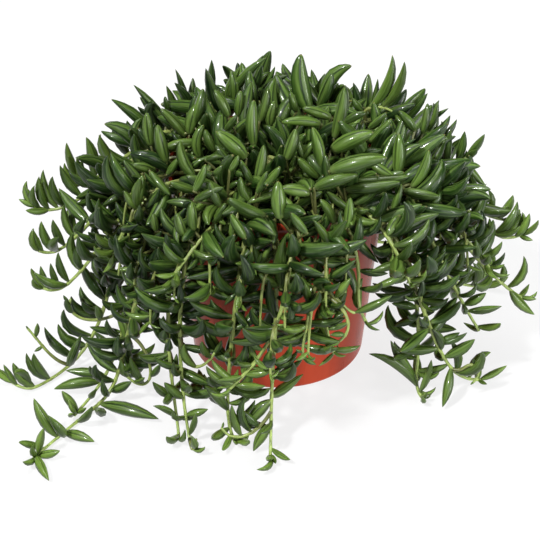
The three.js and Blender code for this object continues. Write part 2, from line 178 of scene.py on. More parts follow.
# Leaves. A pair is the value in the crown and where a stem hangs, and a trail passes from the one to the
# other between two lengths from its foot. A range is the least and the most of what is drawn.
LEAF_PACE = {"shoot": [4.2, 4.2], "trail": [8.5, 16]}
LEAF_BARE = {"shoot": 9, "trail": 18}
CROWN_ENDS = [45, 100]
LEAF_LENGTH = [30, 28]
LEAF_SHRINK = 0.2
LEAF_SHRINK_POWER = 3
LEAF_SLENDERNESS = [0.168, 0.137]
LEAF_TAPER = [0.62, 0.82]
LEAF_RISE_RANGES = [[0.05, 0.85], [0.8, 1.0]]
LEAF_SPREAD_RANGES = [[0.9, 1.9], [0.6, 1.45]]
LEAF_BEND_RANGES = [[0.3, 1.6], [0.6, 2.0]]
LEAF_STRAY = [2.0, 1.3]
LEAF_SIZE_RANGE = [0.68, 1.25]
LEAF_PLUMPNESS_RANGE = [0.88, 1.12]
LEAF_SHIFT = 3
LEAF_WOBBLE = 0.7
LEAF_NECK_WIDTH = 0.015
LEAF_SKEW = 0.9
LEAF_GAP = 0.5
LEAF_MARKS = np.array([0.12, 0.22, 0.32, 0.43, 0.54, 0.65, 0.76, 0.87, 0.97])
THINNEST = 0.5
TRY_REACH = 1.02
STEEP = 0.9
SPACE_ROOM = 120000
FLOOR_GAP = 0.35
CLEARANCE = 0.3
LIGHT_LIFT = [0.0, 0.9]
LIGHT_PULL = [0.1, 0.9]
STEM_PULL = [0.1, 0.3]
HANG_LOSS = 0.55
HANG_BEND = 0.25
TIP_PLACES = [3.5, 0.6]
TIP_CLEAR = 8
TIP_SPREAD = 0.45
TIP_SIZE = 0.72
LEAF_TRIES = 14
LEAF_TURN = 0.42
LEAF_OPENING = 0.2
OPEN_AFTER = 2
SHORT_AFTER = 8
SHORT_SIZE = 0.75
OWN_STEM_SHARE = 0.4
OWN_LEAF_SHARE = 0.5
SMALLEST_REACH = 0.2

# The routes of the trails. Each point is (azimuth in degrees, distance from the axis,
# height). Azimuth 0 is +X, 90 is the back, 180 is -X and 270 faces the viewer.
TRAILS = [
    [(0, 78, 134), (0, 106, 102), (1, 132, 70), (2, 146, 74)],
    [(9, 78, 132), (9, 100, 106), (9, 122, 80), (8, 137, 76)],
    [(20, 76, 132), (19, 94, 110), (18, 110, 88), (17, 121, 84)],
    [(29, 74, 134), (29, 94, 84), (28, 106, 42), (27, 120, 5), (24, 142, 2)],
    [(38, 76, 134), (38, 96, 112), (37, 116, 86)],
    [(49, 74, 134), (49, 96, 88), (51, 110, 54), (52, 124, 32)],
    [(61, 74, 132), (61, 93, 76), (60, 103, 26), (58, 120, 4), (53, 142, 2)],
    [(74, 76, 134), (74, 98, 104), (76, 116, 80)],
    [(87, 74, 134), (87, 93, 84), (90, 104, 42), (94, 114, 8), (99, 134, 2)],
    [(100, 76, 134), (100, 96, 108), (98, 112, 86)],
    [(113, 74, 132), (113, 93, 78), (116, 104, 30), (118, 120, 4), (124, 144, 2)],
    [(126, 76, 134), (126, 98, 108), (128, 118, 82)],
    [(139, 74, 134), (139, 98, 90), (137, 114, 52), (136, 128, 16), (135, 146, 2)],
    [(151, 76, 132), (151, 98, 106), (152, 118, 84)],
    [(164, 76, 134), (164, 96, 114), (164, 117, 94), (165, 126, 93)],
    [(174, 78, 134), (175, 107, 104), (176, 134, 85), (177, 146, 92)],
    [
        (182, 74, 134), (183, 96, 80), (187, 104, 30), (191, 122, 2),
        (199, 146, 2), (201, 160, 2), (196, 167, 2),
    ],
    [(188, 80, 134), (187, 107, 98), (184, 132, 67), (185, 143, 73)],
    [(198, 78, 134), (196, 108, 86), (192, 131, 52), (191, 142, 56)],
    [(204, 74, 132), (202, 92, 78), (200, 96, 34), (206, 114, 5), (214, 144, 2)],
    [(212, 78, 140), (212, 98, 122), (211, 111, 100)],
    [(219, 78, 134), (217, 100, 82), (213, 108, 30), (212, 116, 2), (216, 144, 2), (221, 185, 2)],
    [(229, 78, 136), (229, 100, 80), (236, 108, 24), (239, 112, 4), (241, 118, 2)],
    [(236, 82, 140), (235, 98, 90), (238, 106, 36), (243, 114, 5), (246, 122, 2)],
    [(246, 82, 134), (242, 100, 124), (238, 111, 108)],
    [(258, 80, 138), (256, 93, 102), (254, 98, 58), (253, 103, 12), (257, 109, 2)],
    [(268, 76, 132), (270, 90, 88), (268, 102, 46), (268, 110, 8), (268, 123, 2)],
    [(276, 84, 138), (273, 102, 98), (266, 110, 66), (256, 112, 42)],
    [(287, 84, 138), (287, 98, 104), (285, 97, 78), (289, 99, 56)],
    [(298, 82, 134), (300, 94, 104), (298, 94, 84), (302, 96, 68)],
    [(306, 84, 136), (308, 96, 128), (310, 105, 114), (312, 112, 96)],
    [(316, 78, 136), (320, 99, 92), (324, 110, 50), (331, 119, 13), (340, 129, 2)],
    [(326, 76, 132), (328, 92, 86), (327, 100, 40), (325, 99, 6), (324, 106, 2)],
    [(334, 78, 142), (335, 98, 98), (338, 116, 58), (341, 126, 36)],
    [(343, 80, 142), (344, 104, 106), (348, 128, 70)],
    [(351, 78, 138), (351, 106, 88), (353, 130, 56), (356, 148, 38)],
]

# The finer leaf: its stations from root to tip, its corners round the section measured from the groove,
# the groove's depth, the leaf's flatness and its slimmer shoulders.
LEAF_STATIONS = np.array([0.04, 0.12, 0.24, 0.42, 0.61, 0.78, 0.9, 0.965])
LEAF_CORNERS = np.radians([0, 26, 70, 123, 180, 237, 290, 334])
GROOVE_DEPTH = 0.1
LEAF_FLATNESS = 0.88
GROOVE_PULL = 0.85
GROOVE_STRAY = 1.2
LEAF_FULLNESS = 0.93
LEAF_SWAY = 0.14

# Leaves turn younger past a share of the stem's length, up to a youth at its tip.
YOUNG_FROM = 0.55
YOUNG_SPAN = 0.45
YOUNG_TIP = {"trail": 0.7}
YOUNG_TIP_ELSEWHERE = 0.25

# The leaves that the finer stems carry beside the ones above. They stand closer and may press together.
EXTRA_PACE = {"shoot": [4.6, 4.6], "trail": [4.2, 8.0], "twig": [5.0, 8.0], "sprig": [5.5, 5.5]}
EXTRA_BARE = {"shoot": 6, "trail": 12, "twig": 5, "sprig": 4}
EXTRA_GAP = -1.3
EXTRA_ORDER = 200
EXTRA_SHIFT = 1.5
EXTRA_CLEAR = 4
EXTRA_TIPS = [(6.0, 0.6), (2.0, 0.42), (0.3, 0.34)]
TIP_ORDER = 900
TIP_YOUTH = {"trail": 0.8, "shoot": 0.45, "twig": 0.7, "sprig": 0.4}
TWIG_NUMBER = 1000

# The side twigs: where they leave the stem as shares of its length, and pairs of how far they stand out and
# how long they hang. A knee is how far past its reach a twig has come after a share of its drop.
TWIG_SHARES = {"trail": [0.24, 0.37, 0.5, 0.64], "shoot": [0.5, 0.72]}
TWIG_LAST_SHARE = 0.4
TWIG_LONG_END = 10
TWIG_KINDS = {"trail": "twig", "shoot": "sprig"}
TWIG_OUT = {"trail": [5, 15], "shoot": [14, 24]}
TWIG_DROP = {"trail": [14, 40], "shoot": [-3, 5]}
TWIG_SWING = {"trail": 34, "shoot": 80}
TWIG_TRIES = 10
TWIG_GAP = 0.3
TWIG_SHIFT = 0.1
TWIG_RADIUS = 0.9
TWIG_FIRST_BALL = 3
TWIG_OWN_BALLS = 4
TWIG_LEAST_SWING = 0.4
TWIG_SWING_TRIES = 3
TWIG_START = 3
TWIG_LIFT = 2
TWIG_KNEES = [(4, 0.5), (5, 1)]

# Arms: small side stems posed as the photo shows them. Each has its stem's number, the share of
# that stem's length where it leaves, and the points of its route. The arms' own numbers follow on 60.
ARM_NUMBER = 60
POSED_YOUTH = {"arm": 0.7, "spur": 0.25}
ARMS = [
    (20, 0.61,
     [(-93, -37, 45), (-104, -40, 42), (-113, -42, 43), (-120, -43, 47), (-123, -43, 53), (-122, -42, 58)]),
    (17, 0.8, [(-132, -35, 8), (-139, -36, 17), (-143, -36, 24), (-149, -36, 33)]),
    (22, 0.56, [(-79, -63, 41), (-74, -66, 26), (-75, -67, 16), (-82, -67, 13), (-89, -67, 21)]),
    (24, 0.66, [(-54, -88, 46), (-47, -91, 43), (-40, -92, 48), (-36, -92, 55)]),
    (27, 0.84, [(-8, -109, 18), (-14, -110, 12), (-21, -111, 9), (-29, -111, 10), (-32, -111, 16)]),
    (3, 0.78, [(102, 31, 105), (108, 30, 111), (113, 30, 113)]),
    (32, 0.86, [(108, -59, 19), (112, -60, 25), (118, -60, 24), (119, -60, 18), (116, -60, 12)]),
    (24, 0.97, [(-49, -116, 2), (-47, -112, 2), (-47, -106, 4)]),
    (19, 0.42, [(-94, -30, 96), (-98, -32, 96), (-101, -33, 100)]),
    (21, 0.6, [(-75, -51, 127), (-78, -54, 126), (-80, -55, 129)]),
    (5, 0.36, [(50, 39, 139), (56, 37, 144), (64, 36, 144), (70, 35, 140)]),
    (29, 0.66, [(31, -95, 96), (36, -97, 92), (40, -98, 88), (43, -98, 87)]),
    (29, 0.7, [(33, -98, 94), (37, -101, 90), (40, -102, 83), (39, -102, 75), (35, -101, 70)]),
    (29, 0.58, [(22, -95, 105), (18, -97, 95), (17, -98, 82), (15, -98, 71), (14, -98, 61), (14, -98, 56)]),
    (29, 0.42, [(27, -84, 126), (29, -87, 123)]),
    (27, 0.38, [(0, -88, 101), (2, -91, 98)]),
    (27, 0.3, [(-6, -82, 109), (-11, -85, 108)]),
]

# What stays in sight of the viewer: the posed leaves, and a strip of bare pot wall at the front
# right. The strip's angles run from +X towards -Y.
TO_VIEWER = np.array([0.0, -0.848, 0.53])
SIGHT_SHARE = 0.75
SIGHT_REACH_SQUARED = 1800
BARE_ANGLES = [20, 28, 36, 44]
BARE_HEIGHTS = [15, 25, 35, 45, 55, 65, 75, 85]
BARE_RADIUS = 4

# Leaves posed as the photo shows them: the number of the stem or arm, the share of its length, the
# leaf's tip, the angle by which it bends, the side to which it bends as an angle in the XZ plane (0 is +X and
# 90 is up) and the half width. On a trail that ends in the open, past a reach from the axis, the first of
# them past a share ends the extra leaves.
POSED_ORDER = 600
POSED_PART = 0.6
OPEN_REACH = 115
POSED_LEAVES = [
    (17, 0.97, (-163, -51, 17), 0.3, 45, 2.4), (17, 0.92, (-157, -52, 20), 1.0, 45, 3.9),
    (17, 0.87, (-145, -46, 23), 1.0, 45, 3.6), (17, 0.77, (-140, -29, 28), 1.0, 45, 3.7),
    (17, 0.73, (-131, -25, 22), 0.9, 60, 3.7), (17, 0.7, (-128, -25, 41), 1.7, 60, 3.8),
    (17, 0.64, (-124, -16, 44), 1.9, 80, 4.0), (17, 0.72, (-106, -25, 2), 0.5, -120, 3.0),
    (20, 0.86, (-133, -59, 4), 0.6, -90, 4.2), (17, 0.6, (-118, -12, 65), 0.4, 60, 4.2),
    (17, 0.59, (-93, -17, 67), 0.3, 180, 4.4), (19, 0.97, (-140, -27, 72), 0.5, 45, 2.6),
    (19, 0.93, (-134, -27, 74), 0.5, 45, 2.6), (19, 0.88, (-129, -28, 82), 0.8, 45, 3.2),
    (19, 0.8, (-118, -28, 86), 0.7, 45, 3.2), (18, 0.98, (-145, -12, 89), 0.6, 45, 2.8),
    (18, 0.93, (-140, -10, 92), 0.9, 45, 3.6), (18, 0.88, (-133, -10, 94), 0.6, 45, 3.4),
    (16, 0.99, (-155, 8, 96), 0.2, 90, 2.4), (16, 0.97, (-151, 8, 106), 0.3, 45, 2.4),
    (16, 0.93, (-142, 9, 111), 0.9, 45, 3.5), (16, 0.86, (-134, 9, 111), 1.2, 45, 3.7),
    (16, 0.93, (-151, 5, 91), 0.5, 90, 2.8), (15, 0.98, (-127, 33, 121), 0.5, 45, 3.6),
    (15, 0.9, (-115, 32, 126), 0.5, 135, 4.2), (15, 0.99, (-126, 29, 114), 0.4, 45, 2.6),
    (15, 0.99, (-121, 27, 114), 0.4, 180, 2.6), (14, 0.92, (-109, 53, 116), 0.4, 45, 3.4),
    (14, 0.8, (-100, 49, 126), 0.5, 45, 4.0), (20, 0.98, (-126, -79, 19), 0.2, 45, 3.4),
    (20, 0.99, (-112, -81, 8), 0.4, 135, 1.8), (22, 0.91, (-140, -102, 29), 0.4, 45, 4.0),
    (22, 0.89, (-106, -111, 5), 0.4, -100, 3.6), (22, 0.985, (-133, -118, 21), 0.2, 45, 3.2),
    (22, 0.99, (-124, -122, 8), 0.4, 90, 3.0), (22, 0.99, (-128, -144, 5), 0.4, -30, 3.2),
    (22, 0.76, (-70, -88, 4), 0.3, -100, 4.6), (22, 0.72, (-86, -68, 17), 0.4, 150, 3.4),
    (23, 0.93, (-72, -96, 20), 0.9, -120, 2.6), (24, 0.9, (-40, -100, 21), 0.3, 90, 3.0),
    (24, 0.96, (-47, -107, 24), 0.4, 180, 2.4), (23, 0.86, (-72, -92, 34), 0.7, 60, 3.4),
    (24, 0.85, (-65, -99, 40), 0.4, 60, 3.6), (26, 0.9, (-42, -101, 39), 0.4, -120, 3.8),
    (27, 0.88, (-14, -115, 2), 0.3, 0, 3.6), (27, 0.8, (-18, -109, 15), 0.4, -20, 4.2),
    (27, 0.98, (-1, -128, 3), 0.3, 180, 1.8), (28, 0.96, (-37, -112, 64), 0.8, 60, 3.0),
    (28, 0.93, (-34, -113, 51), 0.3, 90, 2.4), (33, 0.93, (66, -59, 41), 0.3, 60, 4.0),
    (33, 0.96, (53, -60, 34), 0.9, -130, 4.0), (33, 0.98, (90, -63, 31), 0.4, 180, 3.0),
    (32, 0.85, (97, -72, 2), 0.3, 180, 3.6), (32, 0.88, (101, -59, 41), 0.9, 180, 3.4),
    (32, 0.8, (115, -62, 45), 0.5, 130, 4.0), (32, 0.74, (106, -60, 48), 0.4, 130, 3.1),
    (32, 0.77, (89, -66, 55), 0.9, 180, 3.2), (32, 0.76, (69, -64, 38), 0.3, 90, 3.6),
    (32, 0.99, (125, -49, 2), 0.3, 90, 1.4), (33, 0.7, (68, -51, 45), 0.4, -90, 3.0),
    (33, 0.66, (66, -56, 65), 0.3, -90, 3.2), (36, 0.99, (156, -11, 38), 0.2, 90, 2.0),
    (36, 0.93, (155, -15, 29), 0.5, 90, 3.6), (34, 0.9, (132, -42, 53), 0.3, 90, 3.2),
    (34, 0.87, (122, -43, 64), 0.4, 130, 3.3), (36, 0.88, (134, -14, 65), 0.8, 160, 2.6),
    (1, 0.97, (150, 4, 89), 0.8, 140, 3.2), (1, 0.99, (153, 3, 71), 0.3, 90, 1.9),
    (2, 0.98, (141, 19, 94), 0.7, 140, 3.6), (2, 0.94, (138, 15, 88), 0.6, 140, 3.0),
    (2, 0.83, (127, 15, 92), 0.5, 90, 2.7), (71, 0.4, (67, 38, 177), 1.0, 160, 4.3),
    (71, 0.68, (74, 36, 175), 0.9, 160, 3.9), (71, 0.25, (44, 39, 149), 0.5, 60, 2.7),
    (71, 0.95, (80, 35, 146), 0.5, 120, 2.6), (71, 0.99, (74, 27, 137), 0.4, 60, 2.0),
    (5, 0.6, (90, 55, 143), 0.4, 150, 3.4), (5, 0.65, (103, 55, 134), 0.4, 100, 3.2),
    (5, 0.7, (97, 54, 138), 0.6, 160, 4.2), (14, 0.57, (-100, 41, 147), 0.4, -120, 4.3),
    (14, 0.46, (-86, 36, 158), 0.3, -150, 3.2), (12, 0.8, (-69, 83, 133), 0.3, 180, 3.8),
    (12, 0.7, (-63, 77, 146), 0.5, 180, 3.3), (12, 0.6, (-63, 67, 143), 0.5, -100, 3.6),
    (12, 0.45, (-40, 60, 164), 0.2, 180, 3.8), (12, 0.3, (-43, 39, 168), 0.2, 0, 4.6),
    (56, 0.88, (-7, 56, 166), 0.7, -60, 3.8), (56, 0.78, (-10, 47, 168), 0.8, 180, 3.4),
    (56, 0.92, (-23, 58, 159), 0.3, 0, 3.2), (10, 0.5, (-2, 75, 150), 0.3, 180, 2.8),
    (10, 0.45, (6, 70, 147), 0.8, -60, 3.6), (9, 0.2, (15, 67, 148), 0.4, 180, 3.6),
    (8, 0.4, (28, 65, 151), 0.4, 180, 3.4), (8, 0.45, (33, 68, 140), 0.4, 180, 3.2),
    (53, 0.8, (40, 41, 156), 0.2, 180, 4.4), (6, 0.35, (45, 56, 149), 0.4, -100, 3.4),
    (6, 0.42, (60, 62, 149), 0.3, 180, 3.0), (61, 0.95, (-126, -42, 61), 0.5, 20, 1.4),
    (61, 0.8, (-124, -45, 61), 0.8, 20, 2.7), (61, 0.45, (-107, -43, 55), 0.8, 120, 2.8),
    (61, 0.2, (-91, -39, 26), 0.6, 180, 3.2), (62, 0.98, (-150, -36, 35), 0.2, 45, 0.8),
    (62, 0.8, (-143, -36, 37), 0.3, 180, 2.0), (62, 0.6, (-146, -38, 18), 0.6, 45, 1.3),
    (63, 0.75, (-86, -69, 37), 0.5, 0, 3.2), (63, 0.62, (-69, -69, 31), 0.5, 180, 2.7),
    (63, 0.97, (-92, -67, 32), 0.5, 20, 2.7), (63, 0.88, (-78, -71, 22), 0.4, 120, 2.0),
    (64, 0.6, (-53, -93, 63), 1.3, 0, 3.2), (64, 0.9, (-43, -94, 65), 1.0, 0, 2.9),
    (64, 0.99, (-32, -92, 64), 0.5, 180, 2.2), (65, 0.45, (-18, -113, 40), 1.3, 0, 3.2),
    (65, 0.3, (-20, -110, 28), 0.5, 0, 3.3), (65, 0.62, (-26, -113, 34), 0.5, 0, 3.0),
    (65, 0.99, (-31, -111, 20), 0.3, 180, 0.9), (66, 0.97, (123, 30, 130), 0.4, 130, 3.2),
    (66, 0.9, (126, 27, 94), 0.4, 30, 3.2), (66, 0.7, (111, 30, 132), 0.3, 180, 3.4),
    (66, 0.35, (103, 31, 132), 0.3, 0, 3.4), (66, 0.99, (119, 25, 122), 0.4, 110, 2.6),
    (67, 0.5, (115, -60, 29), 0.3, 180, 1.0), (67, 0.98, (114, -60, 10), 0.3, 90, 0.8),
    (69, 0.55, (-88, -33, 118), 0.6, 150, 3.5), (69, 0.99, (-103, -35, 124), 0.5, 0, 3.4),
    (69, 0.8, (-104, -32, 109), 0.3, 0, 2.6), (70, 0.55, (-67, -55, 142), 0.6, 150, 3.6),
    (70, 0.97, (-77, -58, 152), 0.3, 0, 4.0), (70, 0.9, (-87, -55, 141), 0.3, 60, 3.0),
    (72, 0.99, (64, -99, 99), 0.3, 90, 3.0), (72, 0.35, (40, -97, 110), 0.4, 60, 3.2),
    (29, 0.62, (43, -96, 121), 0.3, 60, 3.4), (30, 0.7, (62, -82, 103), 0.3, 90, 2.8),
    (74, 0.42, (13, -99, 112), 0.3, 180, 3.2), (74, 0.52, (23, -101, 103), 0.6, 0, 3.2),
    (74, 0.5, (17, -102, 99), 0.4, 180, 3.0), (74, 0.58, (38, -101, 85), 0.7, 90, 3.4),
    (74, 0.7, (35, -102, 70), 0.6, 90, 3.6), (74, 0.85, (34, -101, 66), 1.1, 90, 3.6),
    (74, 0.99, (22, -100, 53), 0.4, 60, 1.8), (74, 0.93, (10, -101, 64), 0.6, 100, 1.3),
    (74, 0.62, (1, -101, 79), 1.0, 90, 3.4), (74, 0.68, (2, -101, 70), 1.2, 90, 1.5),
    (29, 0.7, (39, -98, 87), 0.4, 90, 3.2), (73, 0.6, (28, -104, 80), 0.5, 90, 2.2),
    (73, 0.85, (29, -104, 76), 0.4, -90, 1.9), (73, 0.99, (29, -102, 67), 0.6, 90, 1.5),
    (73, 0.4, (31, -103, 86), 0.5, 90, 1.5), (75, 0.99, (19, -90, 144), 0.3, 180, 3.0),
    (75, 0.99, (38, -91, 144), 0.4, 0, 3.6), (75, 0.9, (36, -89, 122), 0.5, 90, 1.8),
    (75, 0.8, (18, -89, 123), 0.4, 90, 2.3), (76, 0.97, (4, -94, 135), 0.4, 0, 3.8),
    (76, 0.99, (3, -96, 120), 0.2, 180, 1.8), (76, 0.95, (12, -94, 109), 0.4, 90, 3.0),
    (76, 0.8, (-11, -93, 111), 0.5, 90, 3.6), (77, 0.99, (-14, -88, 126), 0.3, 180, 2.4),
    (77, 0.99, (-9, -90, 122), 0.2, 0, 1.8), (77, 0.9, (-4, -85, 123), 0.4, 0, 2.8),
    (26, 0.5, (-34, -93, 115), 1.6, 30, 4.0), (26, 0.42, (-53, -90, 105), 0.3, 90, 3.2),
    (26, 0.58, (-50, -95, 94), 0.8, 90, 3.6), (26, 0.64, (-46, -96, 83), 1.0, 60, 3.8),
    (26, 0.5, (-30, -93, 88), 0.3, -90, 1.8), (26, 0.56, (-15, -96, 74), 0.4, 0, 2.9),
    (25, 0.7, (-43, -86, 110), 0.3, 180, 3.6), (27, 0.5, (-16, -94, 90), 0.4, 90, 3.0),
    (27, 0.56, (-15, -99, 92), 1.5, 45, 3.4), (27, 0.53, (-5, -96, 108), 0.3, 0, 3.4),
    (27, 0.73, (14, -105, 60), 0.4, 90, 2.8), (28, 0.76, (-27, -111, 77), 0.4, 90, 3.2),
    (28, 0.71, (-18, -110, 84), 0.4, 90, 2.6), (28, 0.87, (-23, -112, 64), 1.4, 30, 2.2),
    (28, 0.92, (-3, -111, 57), 0.4, 90, 3.0), (28, 0.975, (-7, -111, 45), 0.4, 90, 3.2),
    (24, 0.6, (-46, -86, 72), 1.0, 60, 2.1), (29, 0.51, (49, -91, 130), 0.3, 90, 4.2),
    (30, 0.5, (57, -73, 105), 0.3, 90, 3.4), (31, 0.85, (52, -83, 105), 0.3, 90, 3.0),
    (31, 0.93, (52, -84, 94), 0.3, 90, 2.8),
]

# Crown leaves posed the same way, each on a short spur of its own: the number of the stem, the share where
# the spur leaves, the leaf's root and tip, the bend, its side and the half width.
SPUR_END = 0.98
CROWN_TAPER = 0.52
CROWN_FULLNESS = 1.15
CROWN_LEAVES = [
    (16, 0.25, (-54, 10, 138), (-69, 14, 155), 0.3, 225, 3.3),
    (16, 0.24, (-52, 8, 141), (-47, 13, 159), 0.3, 0, 3.9),
    (51, 0.9, (-50, 9, 147), (-44, 16, 167), 0.3, 180, 3.6),
    (19, 0.25, (-64, -26, 142), (-69, -19, 163), 0.3, 0, 3.6),
    (18, 0.34, (-74, -7, 142), (-76, -1, 161), 0.2, 0, 3.3),
    (21, 0.36, (-47, -40, 140), (-56, -33, 160), 0.9, 45, 3.4),
    (44, 0.97, (-45, -9, 135), (-43, -4, 154), 1.3, 0, 3.1),
    (44, 0.77, (-37, -17, 144), (-42, -14, 157), 0.4, 0, 2.8),
    (52, 0.66, (-18, -48, 158), (-35, -44, 173), 0.3, 225, 4.6),
    (54, 0.62, (-14, -16, 147), (-14, -6, 172), 0.4, 0, 3.6),
    (43, 0.54, (-11, 13, 147), (-6, 19, 166), 0.4, 180, 2.9),
    (38, 0.6, (-5, 13, 144), (-2, 16, 159), 0.5, 0, 3.1),
    (54, 0.49, (-29, -6, 161), (-37, -2, 176), 0.3, 180, 3.3),
    (51, 0.53, (-24, 23, 145), (-22, 27, 160), 0.2, 0, 2.7),
    (54, 0.49, (-31, -11, 155), (-24, -11, 165), 0.3, 180, 2.4),
    (52, 0.76, (-14, -63, 151), (-21, -61, 164), 0.3, 0, 2.6),
    (52, 0.74, (-12, -62, 152), (-8, -56, 171), 0.3, 180, 2.9),
    (26, 0.25, (-9, -71, 153), (1, -70, 166), 0.4, 135, 2.6),
    (26, 0.25, (-12, -71, 149), (-6, -69, 162), 0.3, 135, 2.6),
    (26, 0.25, (-15, -68, 141), (-21, -65, 156), 0.9, 30, 3.1),
    (26, 0.28, (-6, -78, 138), (-28, -77, 149), 0.6, 90, 4.3),
    (25, 0.6, (-36, -78, 134), (-29, -77, 146), 0.3, 180, 2.8),
    (52, 0.97, (-32, -77, 144), (-38, -74, 158), 0.4, 0, 2.9),
    (23, 0.2, (-45, -50, 137), (-61, -51, 144), 0.3, 90, 2.9),
    (52, 0.97, (-47, -75, 146), (-30, -75, 155), 0.3, -90, 2.8),
    (52, 0.97, (-47, -74, 152), (-40, -70, 167), 0.3, 180, 2.6),
    (19, 0.27, (-64, -28, 135), (-57, -27, 146), 0.4, 150, 2.6),
    (18, 0.36, (-71, -11, 126), (-85, -13, 133), 0.4, -90, 3.2),
    (25, 0.76, (-52, -86, 130), (-56, -84, 144), 0.4, 0, 3.0),
    (25, 0.71, (-47, -82, 131), (-48, -77, 147), 0.2, 0, 3.2),
    (23, 0.34, (-69, -68, 122), (-70, -67, 133), 0.2, 0, 2.4),
    (28, 0.38, (1, -92, 145), (0, -85, 165), 0.2, 0, 4.2),
    (28, 0.25, (7, -61, 146), (-17, -70, 142), 0.4, -90, 3.2),
    (42, 0.66, (32, -14, 151), (38, -3, 179), 0.3, 180, 4.0),
    (55, 0.49, (30, -26, 150), (54, -24, 162), 0.3, -90, 5.0),
    (55, 0.89, (28, -69, 162), (60, -69, 171), 0.3, -90, 5.0),
    (29, 0.33, (20, -72, 153), (44, -73, 161), 0.4, -90, 4.3),
    (55, 0.9, (37, -63, 147), (68, -66, 153), 0.3, 90, 3.8),
    (55, 0.87, (42, -58, 149), (73, -61, 154), 0.3, 90, 3.2),
    (47, 0.68, (25, -8, 157), (2, -12, 160), 0.7, -90, 3.0),
    (47, 0.89, (31, 9, 152), (14, 7, 159), 0.3, -90, 3.2),
    (42, 0.72, (38, -18, 164), (50, -19, 171), 0.5, -90, 2.8),
    (2, 0.24, (52, 4, 138), (66, 7, 153), 0.4, 135, 2.8),
    (4, 0.2, (53, 25, 135), (64, 26, 146), 0.3, 135, 2.6),
    (34, 0.32, (68, -30, 137), (69, -22, 159), 0.2, 180, 3.9),
    (34, 0.38, (76, -35, 131), (86, -29, 152), 0.8, 160, 3.3),
    (34, 0.37, (71, -40, 132), (92, -46, 132), 0.2, 90, 3.4),
    (31, 0.58, (64, -65, 133), (69, -61, 149), 0.2, 180, 2.2),
    (55, 0.96, (42, -64, 138), (56, -60, 154), 1.4, 120, 3.1),
    (55, 0.63, (24, -44, 150), (19, -36, 171), 0.4, 200, 3.5),
    (55, 0.66, (23, -47, 144), (11, -45, 157), 0.3, 30, 3.3),
    (54, 0.97, (4, -48, 157), (10, -43, 174), 0.3, 180, 3.7),
    (54, 0.97, (15, -40, 151), (10, -35, 167), 0.2, 0, 2.4),
    (54, 0.93, (3, -35, 131), (10, -30, 149), 0.3, 180, 2.7),
    (29, 0.32, (18, -69, 148), (1, -72, 152), 0.3, -90, 3.6),
    (28, 0.27, (11, -64, 136), (25, -64, 145), 0.3, -90, 3.1),
    (55, 0.97, (40, -67, 136), (27, -66, 147), 0.3, 90, 2.7),
    (30, 0.51, (38, -81, 132), (40, -76, 149), 0.2, 180, 2.8),
    (30, 0.46, (31, -71, 129), (23, -68, 143), 0.6, 200, 2.9),
    (28, 0.41, (16, -103, 143), (7, -101, 155), 0.3, 30, 2.9),
    (2, 0.45, (85, 19, 135), (88, 24, 153), 0.3, 180, 2.6),
    (5, 0.68, (90, 49, 119), (96, 54, 138), 0.5, 180, 2.4),
    (54, 0.97, (13, -39, 151), (21, -38, 163), 0.4, 0, 2.6),
    (52, 0.92, (-37, -65, 157), (-31, -66, 164), 0.6, 90, 1.9),
    (49, 0.81, (-41, -45, 155), (-31, -48, 158), 0.6, -90, 2.1),
    (52, 0.88, (-27, -68, 162), (-22, -68, 171), 0.5, 150, 2.0),
    (26, 0.34, (-18, -96, 135), (-26, -93, 149), 0.3, 0, 2.9),
    (34, 0.27, (52, -36, 149), (66, -45, 143), 0.3, 90, 3.0),
    (31, 0.64, (68, -72, 135), (61, -82, 128), 0.3, 0, 2.8),
    (21, 0.53, (-73, -42, 146), (-61, -54, 137), 0.3, 90, 2.6),
    (21, 0.64, (-78, -58, 137), (-76, -55, 151), 0.3, 0, 2.8),
    (21, 0.68, (-74, -50, 122), (-67, -47, 137), 0.5, 150, 2.9),
    (1, 0.33, (80, 8, 144), (70, 9, 156), 0.4, -60, 3.1),
    (38, 0.75, (11, 18, 151), (7, 20, 163), 0.3, 0, 2.6),
    (14, 0.5, (-66, 48, 134), (-68, 48, 144), 0.3, 0, 1.9),
]

# Leaf skin: about 26 lines round a leaf some 25 mm about, drawn coarser than the real 0.5 mm so that they
# show, and cloudy patches 11 mm across. Lengths of patterns on Object coordinates are in metres.
LEAF_LINE_SCALE = (26.0, 1.6, 57.0)
LEAF_LINE_DEPTH = 0.5 * MM
LEAF_PATCH_SIZE = 11 * MM
# LEAF_DARK is the leaf's darkest green, and is also laid on as painted shade on the flanks turned from the
# light.
LEAF_DARK = "#061706"
LEAF_LIGHT = "#223c0d"
LEAF_YOUNG = "#6f8a37"
LEAF_PATCH = "#273f12"
LEAF_PALE_LINE = "#58713a"
LEAF_DARK_LINE = "#061405"
LEAF_STRIPE = "#5c7432"
LEAF_NECK = "#5c6b3b"
LEAF_DRY = "#6b5f36"

# Stem skin: 9 lines round the stem and one in 4.5 mm along it, its colour from foot to tip, and the shades of
# the lines.
BARK_LINE_SCALE = (9.0, 0.22, 1.0)
BARK_LINE_DEPTH = 0.4 * MM
BARK_AGES = [(0.0, "#5a5c31"), (0.3, "#828c49"), (0.65, "#98aa58"), (1.0, "#a0b762")]
BARK_SHADES = [(0.3, "#8a8a80"), (0.7, "#ffffff")]

# Pot plastic: streaks 17 mm wide and 200 mm high, and a grain of 0.45 mm.
PLASTIC_STREAK_SCALE = (60.0, 60.0, 5.0)
PLASTIC_GRAIN = 0.45 * MM
PLASTIC_SHADES = [(0.3, "#8c301c"), (0.7, "#a33d24")]

# Potting mix: crumbs 2.4 mm and cells 2.6 mm across, as scales on metres, and three browns.
SOIL_CRUMB_SCALE = 420.0
SOIL_CELL_SCALE = 380.0
SOIL_BROWNS = [(0.3, "#17100b"), (0.55, "#33251a"), (0.72, "#5d4630")]

